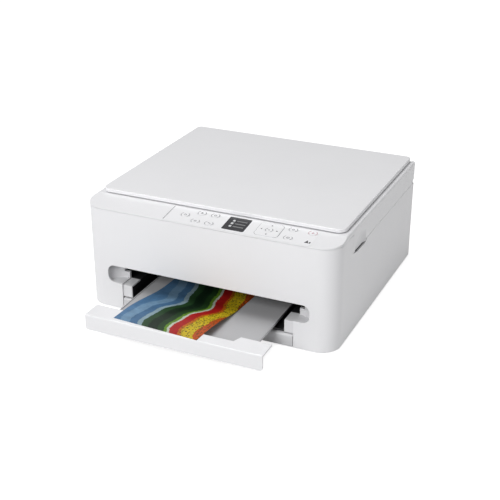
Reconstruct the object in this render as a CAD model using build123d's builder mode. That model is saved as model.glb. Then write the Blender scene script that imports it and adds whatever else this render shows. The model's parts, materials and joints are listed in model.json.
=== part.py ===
"""Inkjet multifunction printer: scanner lid, ink engine, paper cassette and a pulled-out output tray.

Millimetres. +Z is up, +X is to the right seen from the front, and the front faces -Y.
The origin lies on the desk, under the middle of the whole printer with its tray out.
"""

from math import atan2, cos, degrees, pi, radians, sin
import os

from build123d import *

os.makedirs("parts", exist_ok=True)

# Fits: a shaft in its bore, a sliding or separate piece, and the overlap of two shapes of one piece
RUNNING = 0.05
SLIDING = 0.3
OVERLAP = 1.0

# Housing
BODY_WIDTH = 376.0
BODY_DEPTH = 350.0
HALF_WIDTH = BODY_WIDTH / 2
WALL = 2.5
FRONT_CORNER = 28.0
REAR_CORNER = 5.0
TIGHTEST_CORNER = 1.0
FOOT_HEIGHT = 1.5
PAN_THICKNESS = 2.2
PAN_TOP = FOOT_HEIGHT + PAN_THICKNESS
CASE_FRONT_TOP = 150.9
CASE_SIDE_TOP = 124.0
CASE_REAR_DROP = 1.5
CASE_REAR_TOP = CASE_SIDE_TOP - CASE_REAR_DROP
SEAM = 0.4
STRIP_SIDE_DEPTH = 62.0

# Scanner unit
STRIP_EDGE = 1.3
STRIP_RISE = 5.4
STRIP_DEPTH = 41.0
STRIP_FRONT_Z = CASE_FRONT_TOP + STRIP_EDGE
STRIP_ANGLE = degrees(atan2(STRIP_RISE, STRIP_DEPTH))
DECK_Z = STRIP_FRONT_Z + STRIP_RISE
DECK_THICKNESS = 3.6
DECK_UNDER = DECK_Z - DECK_THICKNESS
DECK_ROUND = 3.0
BASE_INSET = 7.0
BASE_GAP = 3.0
BASE_BOTTOM = CASE_SIDE_TOP + BASE_GAP
BASE_WALL = 2.0
REAR_LIFT = 5.4
REAR_BAND = 9.5
GLASS_WIDTH = 304.0
GLASS_LENGTH = 224.0
GLASS_THICKNESS = 2.5
GLASS_LEDGE = 2.0
GLASS_REAR_MARGIN = 36.0
GLASS_HALF = GLASS_WIDTH / 2
GLASS_FAR = BODY_DEPTH - GLASS_REAR_MARGIN
GLASS_NEAR = GLASS_FAR - GLASS_LENGTH
GLASS_MIDDLE = (GLASS_NEAR + GLASS_FAR) / 2
GLASS_TOP = DECK_Z - GLASS_LEDGE

# Lid
LID_THICKNESS = 5.0
LID_GAP = 1.7
LID_BOTTOM = DECK_Z + LID_GAP
LID_TOP = LID_BOTTOM + LID_THICKNESS
LID_SIDE_MARGIN = 6.3
LID_FRONT = 42.0
LID_REAR_MARGIN = 3.5
LID_SKIN = 2.0
LID_RIM = 2.2
LID_FRONT_CORNER = 13.0
LID_REAR_CORNER = 8.0
LID_ROUND = 1.2
PAD_GAP = 0.4
PAD_MARGIN = 3.0

# Output slot, notch and finger scoops
SLOT_HALF = 152.5
SLOT_BOTTOM = 41.0
SLOT_TOP = 67.5
SLOT_ROUND = 10.0
NOTCH_HALF = 130.4
BLOCK_HALF = 116.4
BLOCK_TOP = 38.8
BLOCK_BOTTOM = 20.8
BLOCK_SETBACK = 2.9
SCOOP_FLOOR = 40.6
SCOOP_DEPTH = 22.5
SCOOP_BACK = 27.0
SCOOP_LOW_TOP = 50.0
SCOOP_LOW_HALF = 138.0
BLOCK_FLANGE = 1.8

# Output channel
CHANNEL_WALL = 2.0
CHANNEL_FLOOR = 20.5
CHANNEL_HALF = SLOT_HALF + CHANNEL_WALL
CHANNEL_OUTER = CHANNEL_HALF + CHANNEL_WALL
LOWER_OUTER = BLOCK_HALF + CHANNEL_WALL
CHANNEL_DEEP = 110.0
CHANNEL_LENGTH = 190.0
ROOF_Z = SLOT_TOP + 2 * SLIDING
UPPER_START = SCOOP_BACK + SLIDING
LOWER_START = BLOCK_SETBACK + BLOCK_FLANGE + SLIDING
LOWER_TOP = BLOCK_TOP - CHANNEL_WALL - SLIDING
RAIL_OUTER = 102.0
RAIL_WIDTH = 6.0

# Output tray
TRAY_REACH = 99.0
FRONT_Y = -(BODY_DEPTH - TRAY_REACH) / 2
TRAY_PLATE_HALF = 104.0
TRAY_PLATE_BOTTOM = 28.2
TRAY_PLATE_THICKNESS = 2.5
PLATE_TOP = TRAY_PLATE_BOTTOM + TRAY_PLATE_THICKNESS
TRAY_PLATE_DEEP = 80.0
TRAY_RIM = 1.2
LIP_HALF = 129.4
LIP_SHELF_DEPTH = 31.0
LIP_THICKNESS = 2.5
LIP_INNER = LIP_THICKNESS - TRAY_REACH
LIP_BOTTOM = 19.4
SHELF_BOTTOM = BLOCK_TOP + 2 * SLIDING
SHELF_TOP = SHELF_BOTTOM + LIP_THICKNESS
LIP_CORNER = 4.0
LIP_ROUND = 1.5
LIP_CUT_HALF = 86.0
LIP_CUT_DEPTH = 13.0
LIP_CUT_ANGLE = 110
LIP_RIBS = (45.0, 98.0)

# Printed sheet
SHEET_WIDTH = 127.0
SHEET_LENGTH = 178.0
SHEET_THICKNESS = 0.3
SHEET_GAP = 0.1
SHEET_BEND = 110.0
SHEET_LEFT = -89.0
SHEET_FRONT_MARGIN = 7.4
SHEET_YAW = 3.2

# Cassette
CASSETTE_HALF = 112.0
CASSETTE_DEEP = 315.0
CASSETTE_BOTTOM = PAN_TOP + SLIDING
CASSETTE_TOP = 18.4
CASSETTE_WALL = 2.0
CASSETTE_FLOOR = 1.6
CASSETTE_INSIDE = CASSETTE_BOTTOM + CASSETTE_FLOOR
CASSETTE_FRONT_DEPTH = 9.0
CASSETTE_FRONT_TOP = 19.0
CASSETTE_FRONT_ROUND = 3.0
CASSETTE_FRONT_GAP = 0.8
GUIDE_FACE = 105.3
GUIDE_THICKNESS = 1.8
GUIDE_FOOT = 22.0
GUIDE_FOOT_INSET = 20.0
GUIDE_FOOT_THICKNESS = 1.2
GUIDE_NEAR = 118.0
GUIDE_FAR = 206.0

# Engine chassis and the gears beside it
CHASSIS_MARGIN = 26.0
CHASSIS_HALF = HALF_WIDTH - CHASSIS_MARGIN
CHASSIS_WALL = 2.5
CHASSIS_OUTER = CHASSIS_HALF + CHASSIS_WALL
CHASSIS_FRONT = 112.0
CHASSIS_REAR = 246.0
CHASSIS_DROP = 5.0
CHASSIS_TOP = CASE_SIDE_TOP - CHASSIS_DROP
RAIL_PLATE_DEEP = 222.0
RAIL_PLATE_THICKNESS = 2.0
RAIL_PLATE_BOTTOM = 78.0
TIE_TOP = 27.0
TIE_THICKNESS = 3.0
TIE_GAP = 4.0
ROLLER_Z = 62.0
GEAR_MODULE = 1.0
FEED_TEETH = 44
EXIT_TEETH = 44
IDLER_TEETH = 24
PINION_TEETH = 12
GEAR_WIDTH = 5.0
GEAR_OFFSET = 4.0
GEAR_RIGHT = -(CHASSIS_OUTER + GEAR_OFFSET)
GEAR_LEFT = GEAR_RIGHT - GEAR_WIDTH
FEED_PITCH = FEED_TEETH * GEAR_MODULE / 2
EXIT_PITCH = EXIT_TEETH * GEAR_MODULE / 2
IDLER_PITCH = IDLER_TEETH * GEAR_MODULE / 2
PINION_PITCH = PINION_TEETH * GEAR_MODULE / 2
FEED_DEEP = 200.0
IDLER_DEEP = FEED_DEEP - FEED_PITCH - IDLER_PITCH
EXIT_DEEP = IDLER_DEEP - IDLER_PITCH - EXIT_PITCH
PINION_DEEP = FEED_DEEP + FEED_PITCH + PINION_PITCH
TOWARDS_FRONT = pi
TOWARDS_REAR = 0.0

# Rollers
FEED_SHAFT = 4.0
FEED_RADIUS = 9.0
FEED_HALF = 108.0
EXIT_SHAFT = 3.0
EXIT_RADIUS = 7.0
RING_X = (-84.0, -50.0, -17.0, 17.0, 50.0, 84.0)
EXIT_RING_HALF = 5.0
PINCH_RING_HALF = 9.0
PINCH_RADIUS = 3.0
PINCH_SHAFT = 2.0
PINCH_TILT = 14.0
PINCH_REACH = FEED_RADIUS + PINCH_RADIUS + SLIDING
PINCH_DEEP = FEED_DEEP + PINCH_REACH * cos(radians(PINCH_TILT))
PINCH_Z = ROLLER_Z + PINCH_REACH * sin(radians(PINCH_TILT))
SHAFT_END = 2.0
SHAFT_LEFT = GEAR_LEFT - SHAFT_END / 2
SHAFT_RIGHT = CHASSIS_OUTER + SHAFT_END

# Platen
PLATEN_STEP = 2.0
PLATEN_TOP = ROLLER_Z + PLATEN_STEP
PLATEN_THICKNESS = 5.0
PLATEN_NEAR = 145.0
PLATEN_FAR = 187.0
PLATEN_RIBS = 12
PLATEN_RIB_PITCH = 18.0
PLATEN_RIB_WIDTH = 2.0
PLATEN_RIB_HEIGHT = 1.0

# Ink carriage and its drive
ROD_RADIUS = 4.0
ROD_DEEP = 212.0
ROD_Z = 83.0
CARRIAGE_HALF = 42.0
PARK_GAP = 8.0
CARRIAGE_PARK = CHASSIS_HALF - CARRIAGE_HALF - PARK_GAP
CARRIAGE_LEFT = CARRIAGE_PARK - CARRIAGE_HALF
CARRIAGE_RIGHT = CARRIAGE_PARK + CARRIAGE_HALF
CARRIAGE_FRONT = 150.0
CARRIAGE_BACK = 206.0
CARRIAGE_BOTTOM = 74.0
CARRIAGE_TOP = 112.0
CARRIAGE_WALL = 2.0
LUG_WIDTH = 14.0
LUG_REACH = 7.0
CLAMP_HALF = 8.0
CLAMP_BELOW = 5.0
CLAMP_ABOVE = 4.0
CARTRIDGE_TOP = 116.0
CARTRIDGE_SLOPE_RUN = 14.0
CARTRIDGE_SLOPE_DROP = 10.0
PULLEY_RADIUS = 6.0
PULLEY_FLANGE = 2.4
PULLEY_FLANGE_THICKNESS = 0.8
PULLEY_SIDE = 0.5
PULLEY_MARGIN = 10.0
PULLEY_X = CHASSIS_HALF - PULLEY_MARGIN
PULLEY_Z = 103.0
BELT_FRONT = 213.0
BELT_WIDTH = 5.0
BELT_BACK = BELT_FRONT + BELT_WIDTH
BELT_THICKNESS = 1.2
BELT_INNER = PULLEY_RADIUS + SLIDING
BELT_RUN = PULLEY_Z - BELT_INNER - BELT_THICKNESS / 2
MOTOR_FRONT = RAIL_PLATE_DEEP + RAIL_PLATE_THICKNESS
MOTOR_RADIUS = 13.0
MOTOR_LENGTH = 26.0
MOTOR_SHAFT = 1.5
MOTOR_SHAFT_DEEP = 10.0
MOTOR_SHIFT = 3.0

# Purge unit
PURGE_NEAR = 140.0
PURGE_FAR = 188.0
PURGE_TOP = 58.0
CAP_SHIFTS = (-10.0, 10.0)
CAP_MARGIN = 24.0
CAP_MIDDLE = CHASSIS_HALF - CAP_MARGIN
CAP_HALF = 7.0
CAP_NEAR = 150.0
CAP_FAR = 178.0
CAP_TOP = 68.0
CAP_WALL = 2.0
CAP_WELL = 4.0

# Pickup arm
ARM_PIVOT_DEEP = 232.0
ARM_PIVOT_Z = 34.0
ARM_LENGTH = 40.0
ARM_DROP = 6.0
ARM_SHAFT = 3.0
ARM_BOSS = 4.5
ARM_HALF = 20.0
ARM_CHEEK = 3.0
ROLL_DEEP = ARM_PIVOT_DEEP + ARM_LENGTH
ROLL_Z = ARM_PIVOT_Z - ARM_DROP
ROLL_SHAFT = 1.5
PICKUP_RADIUS = 8.0

# Hinges of the scanner unit and of the lid
UPPER_AXIS_MARGIN = 7.0
UPPER_AXIS_RISE = 1.7
UPPER_AXIS_DEEP = BODY_DEPTH - UPPER_AXIS_MARGIN
UPPER_AXIS_Z = CASE_REAR_TOP + UPPER_AXIS_RISE
UPPER_PIN = 2.45
UPPER_KNUCKLE = 4.2
UPPER_HINGE_X = 152.0
EAR_DROP = 12.0
EAR_ROOT = 0.5
LUG_SLIM = 0.7
LUG_HEIGHT = 9.0
LID_AXIS_MARGIN = 6.5
LID_AXIS_RISE = 0.9
LID_AXIS_DEEP = BODY_DEPTH - LID_AXIS_MARGIN
LID_AXIS_Z = LID_BOTTOM + LID_AXIS_RISE
LID_KNUCKLE = 1.8
LID_PIN = 1.2
LID_PIN_REACH = 3.5
LID_LUG = 4.0
LID_LUG_ROOT = 0.5
LID_ROOM = 1.5
LID_ROOM_NEAR = 2.5
LID_ROOM_DROP = 4.6
LEG_X = 115.0
LEG_WIDTH = 16.0
LEG_THICKNESS = 5.8
LEG_LENGTH = 28.2
LEG_NEAR = LID_AXIS_DEEP - LEG_THICKNESS / 2
LEG_FAR = LID_AXIS_DEEP + LEG_THICKNESS / 2
NECK_LENGTH = 6.0
NECK_BOTTOM = LID_AXIS_Z - NECK_LENGTH
LEG_BOTTOM = LID_AXIS_Z - LEG_LENGTH

# Control strip: places are X and the distance up the slope
FILM_LEFT = -63.0
FILM_RIGHT = 150.0
FILM_MARGIN = 2.4
FILM_FAR_MARGIN = 0.5
FILM_THICKNESS = 0.5
FILM_GAP = 0.1
SCREEN_LEFT = 22.5
SCREEN_RIGHT = 54.5
SCREEN_NEAR = 6.0
SCREEN_FAR = 38.4
SCREEN_CORNER = 2.0
SCREEN_THICKNESS = 1.8
BUTTON_WIDTH = 13.0
BUTTON_HEIGHT = 10.0
BUTTON_PROUD = 0.4
BUTTON_FLANGE = 0.9
FLANGE_THICKNESS = 0.6
FUNCTION_BUTTONS = (
    ("function_button_1", -38.3, 22.5),
    ("function_button_2", -18.0, 33.0),
    ("function_button_3", 2.2, 33.0),
    ("function_button_4", -18.0, 11.6),
    ("function_button_5", 2.2, 11.6),
    ("start_black_button", 114.8, 33.0),
    ("start_colour_button", 142.1, 33.0),
    ("stop_button", 115.6, 12.0),
)
PAD_LEFT = 68.5
PAD_RIGHT = 101.5
PAD_NEAR = 7.0
PAD_FAR = 37.4
PAD_CORNER = 5.0
PAD_MIDDLE = ((PAD_LEFT + PAD_RIGHT) / 2, (PAD_NEAR + PAD_FAR) / 2)
OK_RADIUS = 5.6
BOARD_NEAR = 8.0
BOARD_FAR = 38.0
BOARD_DROP = 5.2
BOARD_THICKNESS = 1.6
POST_RADIUS = 1.6
POST_MARGIN = 3.0
POST_X = (
    FILM_LEFT + POST_MARGIN,
    (FUNCTION_BUTTONS[4][1] + SCREEN_LEFT) / 2,
    (FUNCTION_BUTTONS[5][1] + FUNCTION_BUTTONS[6][1]) / 2,
)
POST_UP = (10.0, 36.0)

# Rear cover, sockets and boards
COVER_HALF = 118.0
COVER_BOTTOM = 22.0
COVER_TOP = 92.0
COVER_THICKNESS = 2.2
RIB_X = (-90.0, -45.0, 0.0, 45.0, 90.0)
RIB_THICKNESS = 2.0
RIB_DEPTH = 24.0
RIB_MARGIN = 2.0
RIB_NOSE = 3.0
TURN_RADIUS = 30.0
SOCKET_SETBACK = 0.4
SUPPLY_GAP = 4.0
SUPPLY_NEAR = CHASSIS_REAR + SUPPLY_GAP
SUPPLY_REAR_MARGIN = 10.0
SUPPLY_FAR = BODY_DEPTH - SUPPLY_REAR_MARGIN
SUPPLY_SIDE_MARGIN = 6.0
SUPPLY_OUTER = HALF_WIDTH - SUPPLY_SIDE_MARGIN
SUPPLY_WIDTH = 59.0
SUPPLY_INNER = SUPPLY_OUTER - SUPPLY_WIDTH
SUPPLY_TOP = 46.0
INLET_SHIFT = 30.0
INLET_X = INLET_SHIFT - SUPPLY_OUTER
INLET_Z = 30.0
INLET_WIDTH = 22.0
INLET_HEIGHT = 12.0
INLET_PITCH = 8.5
INLET_PIN = 1.3
INLET_DEPTH = 8.0
BOARD_WIDTH = 60.0
BOARD_INNER = SUPPLY_OUTER - BOARD_WIDTH
BOARD_Z = 20.0
BOARD_POST = 2.0
CHIPS = (
    ((18.0, 38.0), (18.0, 38.0), 2.0),
    ((42.0, 54.0), (20.0, 32.0), 1.6),
    ((4.0, 14.0), (12.0, 50.0), 6.0),
)
USB_SHIFT = 28.0
USB_X = BOARD_INNER + USB_SHIFT
USB_WIDTH = 12.2
USB_HEIGHT = 11.0
USB_WALL = 1.0
USB_LENGTH = 22.0
USB_TONGUE = (5.6, 3.2)
CHIP_Z = BOARD_Z + BOARD_THICKNESS

# Finger recess in each side
RECESS_NEAR = 64.0
RECESS_FAR = 120.0
RECESS_DROP = 4.6
RECESS_RUN = 17.0
RECESS_END = 6.0
RECESS_GAP = 2.2
DISH_RADIUS = 24.0
DISH_DEEP = 92.0
DISH_REACH = 10.0
DISH_Z = 130.0
DISH_DEPTH = 4.0
DISH_BACKING = 0.8
DISH_BLOCK = BASE_INSET - DISH_BACKING


def back(depth):
    """Y of a place that lies this far behind the front face."""
    return FRONT_Y + depth


STRIP = Plane(
    origin=(0, FRONT_Y, STRIP_FRONT_Z),
    x_dir=(1, 0, 0),
    z_dir=(0, -sin(radians(STRIP_ANGLE)), cos(radians(STRIP_ANGLE))),
)


def block(x, y, z, mode=Mode.ADD):
    """Box between two X values, two depths behind the front face and two heights."""
    with Locations(((x[0] + x[1]) / 2, back((y[0] + y[1]) / 2), (z[0] + z[1]) / 2)):
        Box(abs(x[1] - x[0]), abs(y[1] - y[0]), abs(z[1] - z[0]), mode=mode)


def bar(radius, x, depth, height, mode=Mode.ADD):
    """Round bar along X between two X values."""
    with Locations(((x[0] + x[1]) / 2, back(depth), height)):
        Cylinder(radius, abs(x[1] - x[0]), rotation=(0, 90, 0), mode=mode)


def stub(radius, x, y, height, mode=Mode.ADD):
    """Round bar along Y between two depths."""
    with Locations((x, back((y[0] + y[1]) / 2), height)):
        Cylinder(radius, abs(y[1] - y[0]), rotation=(90, 0, 0), mode=mode)


def housing_plan(height, inset):
    """Plan of the housing at a height, drawn in by inset: wide front corners and tight rear ones."""
    with BuildSketch(Plane.XY.offset(height)) as plan:
        with Locations((0, back(BODY_DEPTH / 2))):
            Rectangle(BODY_WIDTH - 2 * inset, BODY_DEPTH - 2 * inset)
        fillet(plan.vertices().group_by(Axis.Y)[0], FRONT_CORNER - inset)
        fillet(plan.vertices().group_by(Axis.Y)[-1], max(REAR_CORNER - inset, TIGHTEST_CORNER))
    return plan.sketch


def recess_outline(x, gap):
    """Dip of a side wall under its finger recess, drawn in by a gap."""
    low = CASE_SIDE_TOP - RECESS_DROP + gap
    with BuildSketch(Plane.YZ.offset(x)) as dip:
        with BuildLine():
            Polyline(
                (back(RECESS_NEAR + gap), CASE_SIDE_TOP + gap),
                (back(RECESS_NEAR + RECESS_RUN), low),
                (back(RECESS_FAR - RECESS_END), low),
                (back(RECESS_FAR - gap), CASE_SIDE_TOP + gap),
                close=True,
            )
        make_face()
        fillet(dip.vertices().group_by(Axis.Y)[0], RECESS_END)
    return dip.sketch


def gear_outline(teeth, phase):
    """Face of a spur gear with straight flanks and free backlash; one tooth points at phase."""
    pitch = teeth * GEAR_MODULE / 2
    root, tip = pitch - 1.2 * GEAR_MODULE, pitch + 0.8 * GEAR_MODULE
    root_half, tip_half = 0.26 * 2 * pi / teeth, 0.12 * 2 * pi / teeth
    points = []
    for tooth in range(teeth):
        middle = phase + tooth * 2 * pi / teeth
        for radius, turn in ((root, -root_half), (tip, -tip_half), (tip, tip_half), (root, root_half)):
            points.append((radius * cos(middle + turn), radius * sin(middle + turn)))
    Polygon(*points, align=None)


# Main case
with BuildPart() as main_case:
    extrude(housing_plan(FOOT_HEIGHT, 0), amount=CASE_FRONT_TOP - FOOT_HEIGHT)
    extrude(housing_plan(FOOT_HEIGHT, WALL), amount=CASE_FRONT_TOP - FOOT_HEIGHT, mode=Mode.SUBTRACT)
    for near, height in ((STRIP_SIDE_DEPTH, CASE_SIDE_TOP), (BODY_DEPTH - REAR_BAND, CASE_REAR_TOP)):
        block((-HALF_WIDTH, HALF_WIDTH), (near, BODY_DEPTH), (height, CASE_FRONT_TOP), Mode.SUBTRACT)
    # Output slot with round ends, and the notch under it that the cassette front fills
    with BuildSketch(Plane.XZ.offset(-FRONT_Y)):
        with Locations((0, (SLOT_BOTTOM + SLOT_TOP) / 2)):
            RectangleRounded(2 * SLOT_HALF, SLOT_TOP - SLOT_BOTTOM, SLOT_ROUND)
        with Locations((0, (FOOT_HEIGHT + SLOT_TOP) / 2)):
            Rectangle(2 * NOTCH_HALF, SLOT_TOP - FOOT_HEIGHT)
    extrude(amount=-WALL, mode=Mode.SUBTRACT)
    # Openings in the rear wall: paper-turn cover, mains inlet and data socket
    block(
        (-COVER_HALF - SLIDING, COVER_HALF + SLIDING),
        (BODY_DEPTH - WALL, BODY_DEPTH),
        (COVER_BOTTOM - SLIDING, COVER_TOP + SLIDING),
        Mode.SUBTRACT,
    )
    block(
        (INLET_X - INLET_WIDTH / 2 - SLIDING, INLET_X + INLET_WIDTH / 2 + SLIDING),
        (BODY_DEPTH - WALL, BODY_DEPTH),
        (INLET_Z - INLET_HEIGHT / 2 - SLIDING, INLET_Z + INLET_HEIGHT / 2 + SLIDING),
        Mode.SUBTRACT,
    )
    block(
        (USB_X - USB_WIDTH / 2 - SLIDING, USB_X + USB_WIDTH / 2 + SLIDING),
        (BODY_DEPTH - WALL, BODY_DEPTH),
        (CHIP_Z - SLIDING, CHIP_Z + USB_HEIGHT + SLIDING),
        Mode.SUBTRACT,
    )
    # Dip in the top edge of both side walls, under the finger recess
    extrude(recess_outline(-HALF_WIDTH, 0), amount=BODY_WIDTH, mode=Mode.SUBTRACT)
    # Hinge ears on the rear wall
    for side in (-1, 1):
        for near in (UPPER_KNUCKLE + SLIDING, -2 * UPPER_KNUCKLE - SLIDING):
            with BuildSketch(Plane.YZ.offset(side * UPPER_HINGE_X + near)):
                with Locations((back(UPPER_AXIS_DEEP), UPPER_AXIS_Z)):
                    Circle(UPPER_KNUCKLE)
                with Locations((back(UPPER_AXIS_DEEP - UPPER_KNUCKLE), CASE_REAR_TOP - EAR_DROP)):
                    Rectangle(
                        BODY_DEPTH - WALL - UPPER_AXIS_DEEP + UPPER_KNUCKLE + EAR_ROOT,
                        UPPER_AXIS_Z - CASE_REAR_TOP + EAR_DROP,
                        align=(Align.MIN, Align.MIN),
                    )
                with Locations((back(BODY_DEPTH - WALL), CASE_REAR_TOP)):
                    Rectangle(WALL, UPPER_AXIS_Z, align=(Align.MIN, Align.MIN), mode=Mode.SUBTRACT)
            extrude(amount=UPPER_KNUCKLE)
        bar(
            UPPER_PIN + RUNNING,
            (side * UPPER_HINGE_X - 4 * UPPER_KNUCKLE, side * UPPER_HINGE_X + 4 * UPPER_KNUCKLE),
            UPPER_AXIS_DEEP,
            UPPER_AXIS_Z,
            Mode.SUBTRACT,
        )
main_case.part.label = "main_case"

# Base pan
with BuildPart() as base_pan:
    extrude(housing_plan(FOOT_HEIGHT, WALL), amount=PAN_THICKNESS)
    block(
        (-NOTCH_HALF - SLIDING, NOTCH_HALF + SLIDING),
        (WALL, CASSETTE_FRONT_DEPTH + WALL),
        (FOOT_HEIGHT, PAN_TOP),
        Mode.SUBTRACT,
    )
base_pan.part.label = "base_pan"

# Rubber feet
FOOT_RADIUS = 7.0
FOOT_SIDE_MARGIN = 23.0
FOOT_REAR_MARGIN = 26.0
FOOT_X = HALF_WIDTH - FOOT_SIDE_MARGIN
FOOT_NEAR = 40.0
FOOT_FAR = BODY_DEPTH - FOOT_REAR_MARGIN
with BuildPart() as rubber_feet:
    with BuildSketch():
        with Locations(*[(side * FOOT_X, back(deep)) for side in (-1, 1) for deep in (FOOT_NEAR, FOOT_FAR)]):
            Circle(FOOT_RADIUS)
    extrude(amount=FOOT_HEIGHT)
rubber_feet.part.label = "rubber_feet"

# Guide blocks with the finger scoops, right one first
with BuildPart() as guide_block_right:
    block((BLOCK_HALF, CHANNEL_OUTER), (BLOCK_SETBACK, SCOOP_BACK), (BLOCK_BOTTOM, BLOCK_TOP))
    block((NOTCH_HALF + SLIDING, CHANNEL_OUTER), (WALL, SCOOP_BACK), (BLOCK_BOTTOM, SCOOP_FLOOR))
    block(
        (BLOCK_HALF, LOWER_OUTER + SLIDING),
        (BLOCK_SETBACK + BLOCK_FLANGE, SCOOP_BACK),
        (BLOCK_BOTTOM, BLOCK_TOP - CHANNEL_WALL),
        Mode.SUBTRACT,
    )
    with BuildSketch(Plane.XY.offset(SCOOP_FLOOR)):
        with BuildLine():
            scoop = EllipticalCenterArc(
                (NOTCH_HALF, back(WALL)),
                SLOT_HALF - NOTCH_HALF,
                SCOOP_DEPTH - WALL,
                start_angle=0,
                arc_size=90,
            )
            Polyline(
                scoop @ 1,
                (NOTCH_HALF, back(SCOOP_BACK)),
                (CHANNEL_OUTER, back(SCOOP_BACK)),
                (CHANNEL_OUTER, back(WALL)),
                scoop @ 0,
            )
        make_face()
    extrude(amount=SLOT_TOP + SLIDING - SCOOP_FLOOR)
    for outer, low in ((SCOOP_LOW_HALF, SCOOP_LOW_TOP), (NOTCH_HALF + SLIDING, BLOCK_TOP)):
        block((NOTCH_HALF, outer), (WALL, SCOOP_BACK), (low, SLOT_TOP + SLIDING), Mode.SUBTRACT)
guide_block_right.part.label = "guide_block_right"

with BuildPart() as guide_block_left:
    mirror(guide_block_right.part, about=Plane.YZ)
guide_block_left.part.label = "guide_block_left"

# Black channel behind the slot: wide upper part with a roof, narrow lower part that holds the tray
INNER_FLOOR = CHANNEL_FLOOR + CHANNEL_WALL
with BuildPart() as exit_channel:
    block((-CHANNEL_OUTER, CHANNEL_OUTER), (UPPER_START, CHANNEL_DEEP), (BLOCK_TOP - CHANNEL_WALL, ROOF_Z))
    block((-CHANNEL_OUTER, CHANNEL_OUTER), (WALL, CHANNEL_DEEP), (ROOF_Z, ROOF_Z + CHANNEL_WALL))
    block((-LOWER_OUTER, LOWER_OUTER), (UPPER_START, CHANNEL_DEEP), (CHANNEL_FLOOR, BLOCK_TOP))
    block((-LOWER_OUTER, LOWER_OUTER), (LOWER_START, CHANNEL_LENGTH), (CHANNEL_FLOOR, LOWER_TOP))
    block((-CHANNEL_HALF, CHANNEL_HALF), (UPPER_START, CHANNEL_DEEP), (BLOCK_TOP, ROOF_Z), Mode.SUBTRACT)
    block((-BLOCK_HALF, BLOCK_HALF), (WALL, CHANNEL_LENGTH), (INNER_FLOOR, BLOCK_TOP), Mode.SUBTRACT)
    for side in (-1, 1):
        block(
            (side * (RAIL_OUTER - RAIL_WIDTH), side * RAIL_OUTER),
            (LOWER_START, CHANNEL_LENGTH),
            (INNER_FLOOR, TRAY_PLATE_BOTTOM - SLIDING),
        )
exit_channel.part.label = "exit_channel"

# Output tray plate with low side rims
with BuildPart() as output_tray:
    block((-TRAY_PLATE_HALF, TRAY_PLATE_HALF), (LIP_INNER, TRAY_PLATE_DEEP), (TRAY_PLATE_BOTTOM, PLATE_TOP))
    for side in (-1, 1):
        block(
            (side * (TRAY_PLATE_HALF - TRAY_RIM), side * TRAY_PLATE_HALF),
            (LIP_INNER, TRAY_PLATE_DEEP),
            (PLATE_TOP, PLATE_TOP + TRAY_RIM),
        )
    rear_edges = output_tray.edges().filter_by(Axis.Z).group_by(Axis.Y)[-1].sort_by(Axis.X)
    fillet([rear_edges[0], rear_edges[-1]], LIP_CORNER)
output_tray.part.label = "output_tray"

# White lip across the front of the tray
with BuildPart() as tray_lip:
    with BuildSketch(Plane.XZ.offset(-back(-TRAY_REACH))) as lip_face:
        with Locations((0, (LIP_BOTTOM + SHELF_TOP) / 2)):
            Rectangle(2 * LIP_HALF, SHELF_TOP - LIP_BOTTOM)
        fillet(lip_face.vertices().group_by(Axis.Y)[0], LIP_CORNER)
    extrude(amount=-LIP_THICKNESS)
    with BuildSketch(Plane.XY.offset(SHELF_BOTTOM)) as shelf:
        with Locations((0, back(-TRAY_REACH))):
            Rectangle(2 * LIP_HALF, LIP_SHELF_DEPTH, align=(Align.CENTER, Align.MIN))
        with Locations((0, back(LIP_SHELF_DEPTH - TRAY_REACH))):
            Trapezoid(
                2 * LIP_CUT_HALF,
                LIP_CUT_DEPTH,
                LIP_CUT_ANGLE,
                align=(Align.CENTER, Align.MAX),
                mode=Mode.SUBTRACT,
            )
    extrude(amount=LIP_THICKNESS)
    for side in (-1, 1):
        for place in LIP_RIBS:
            block(
                (side * place - LIP_THICKNESS / 2, side * place + LIP_THICKNESS / 2),
                (LIP_INNER, LIP_INNER + LIP_SHELF_DEPTH - LIP_CUT_DEPTH - 2 * LIP_THICKNESS),
                (PLATE_TOP, SHELF_BOTTOM),
            )
    fillet(tray_lip.edges().filter_by(Axis.X).group_by(Axis.Y)[0].sort_by(Axis.Z)[-1:], LIP_ROUND)
tray_lip.part.label = "tray_lip"

# Printed sheet: it lies on the lip's shelf and slopes down onto the plate
SHEET_HIGH = SHELF_TOP + SHEET_GAP + SHEET_THICKNESS / 2
SHEET_LOW = PLATE_TOP + SHEET_GAP + SHEET_THICKNESS / 2
SHEET_START = back(SHEET_FRONT_MARGIN - TRAY_REACH)
SHELF_END = back(LIP_SHELF_DEPTH - TRAY_REACH)
with BuildPart() as printed_sheet:
    with BuildSketch(Plane.YZ.offset(SHEET_LEFT)):
        with BuildLine():
            flat_run = Line((SHEET_START, SHEET_HIGH), (SHELF_END, SHEET_HIGH))
            slope = Spline(flat_run @ 1, (SHELF_END + SHEET_BEND, SHEET_LOW), tangents=[(1, 0), (1, 0)])
            Line(slope @ 1, (SHEET_START + SHEET_LENGTH, SHEET_LOW))
        trace(line_width=SHEET_THICKNESS)
    extrude(amount=SHEET_WIDTH)
printed_sheet.part = printed_sheet.part.rotate(Axis((SHEET_LEFT, SHEET_START, 0), (0, 0, 1)), -SHEET_YAW)
printed_sheet.part.label = "printed_sheet"

# Cassette: open pan that holds the paper
with BuildPart() as cassette:
    block(
        (-CASSETTE_HALF, CASSETTE_HALF),
        (CASSETTE_FRONT_DEPTH, CASSETTE_DEEP),
        (CASSETTE_BOTTOM, CASSETTE_TOP),
    )
    block(
        (CASSETTE_WALL - CASSETTE_HALF, CASSETTE_HALF - CASSETTE_WALL),
        (CASSETTE_FRONT_DEPTH + CASSETTE_WALL, CASSETTE_DEEP - CASSETTE_WALL),
        (CASSETTE_INSIDE, CASSETTE_TOP),
        Mode.SUBTRACT,
    )
cassette.part.label = "cassette"

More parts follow.
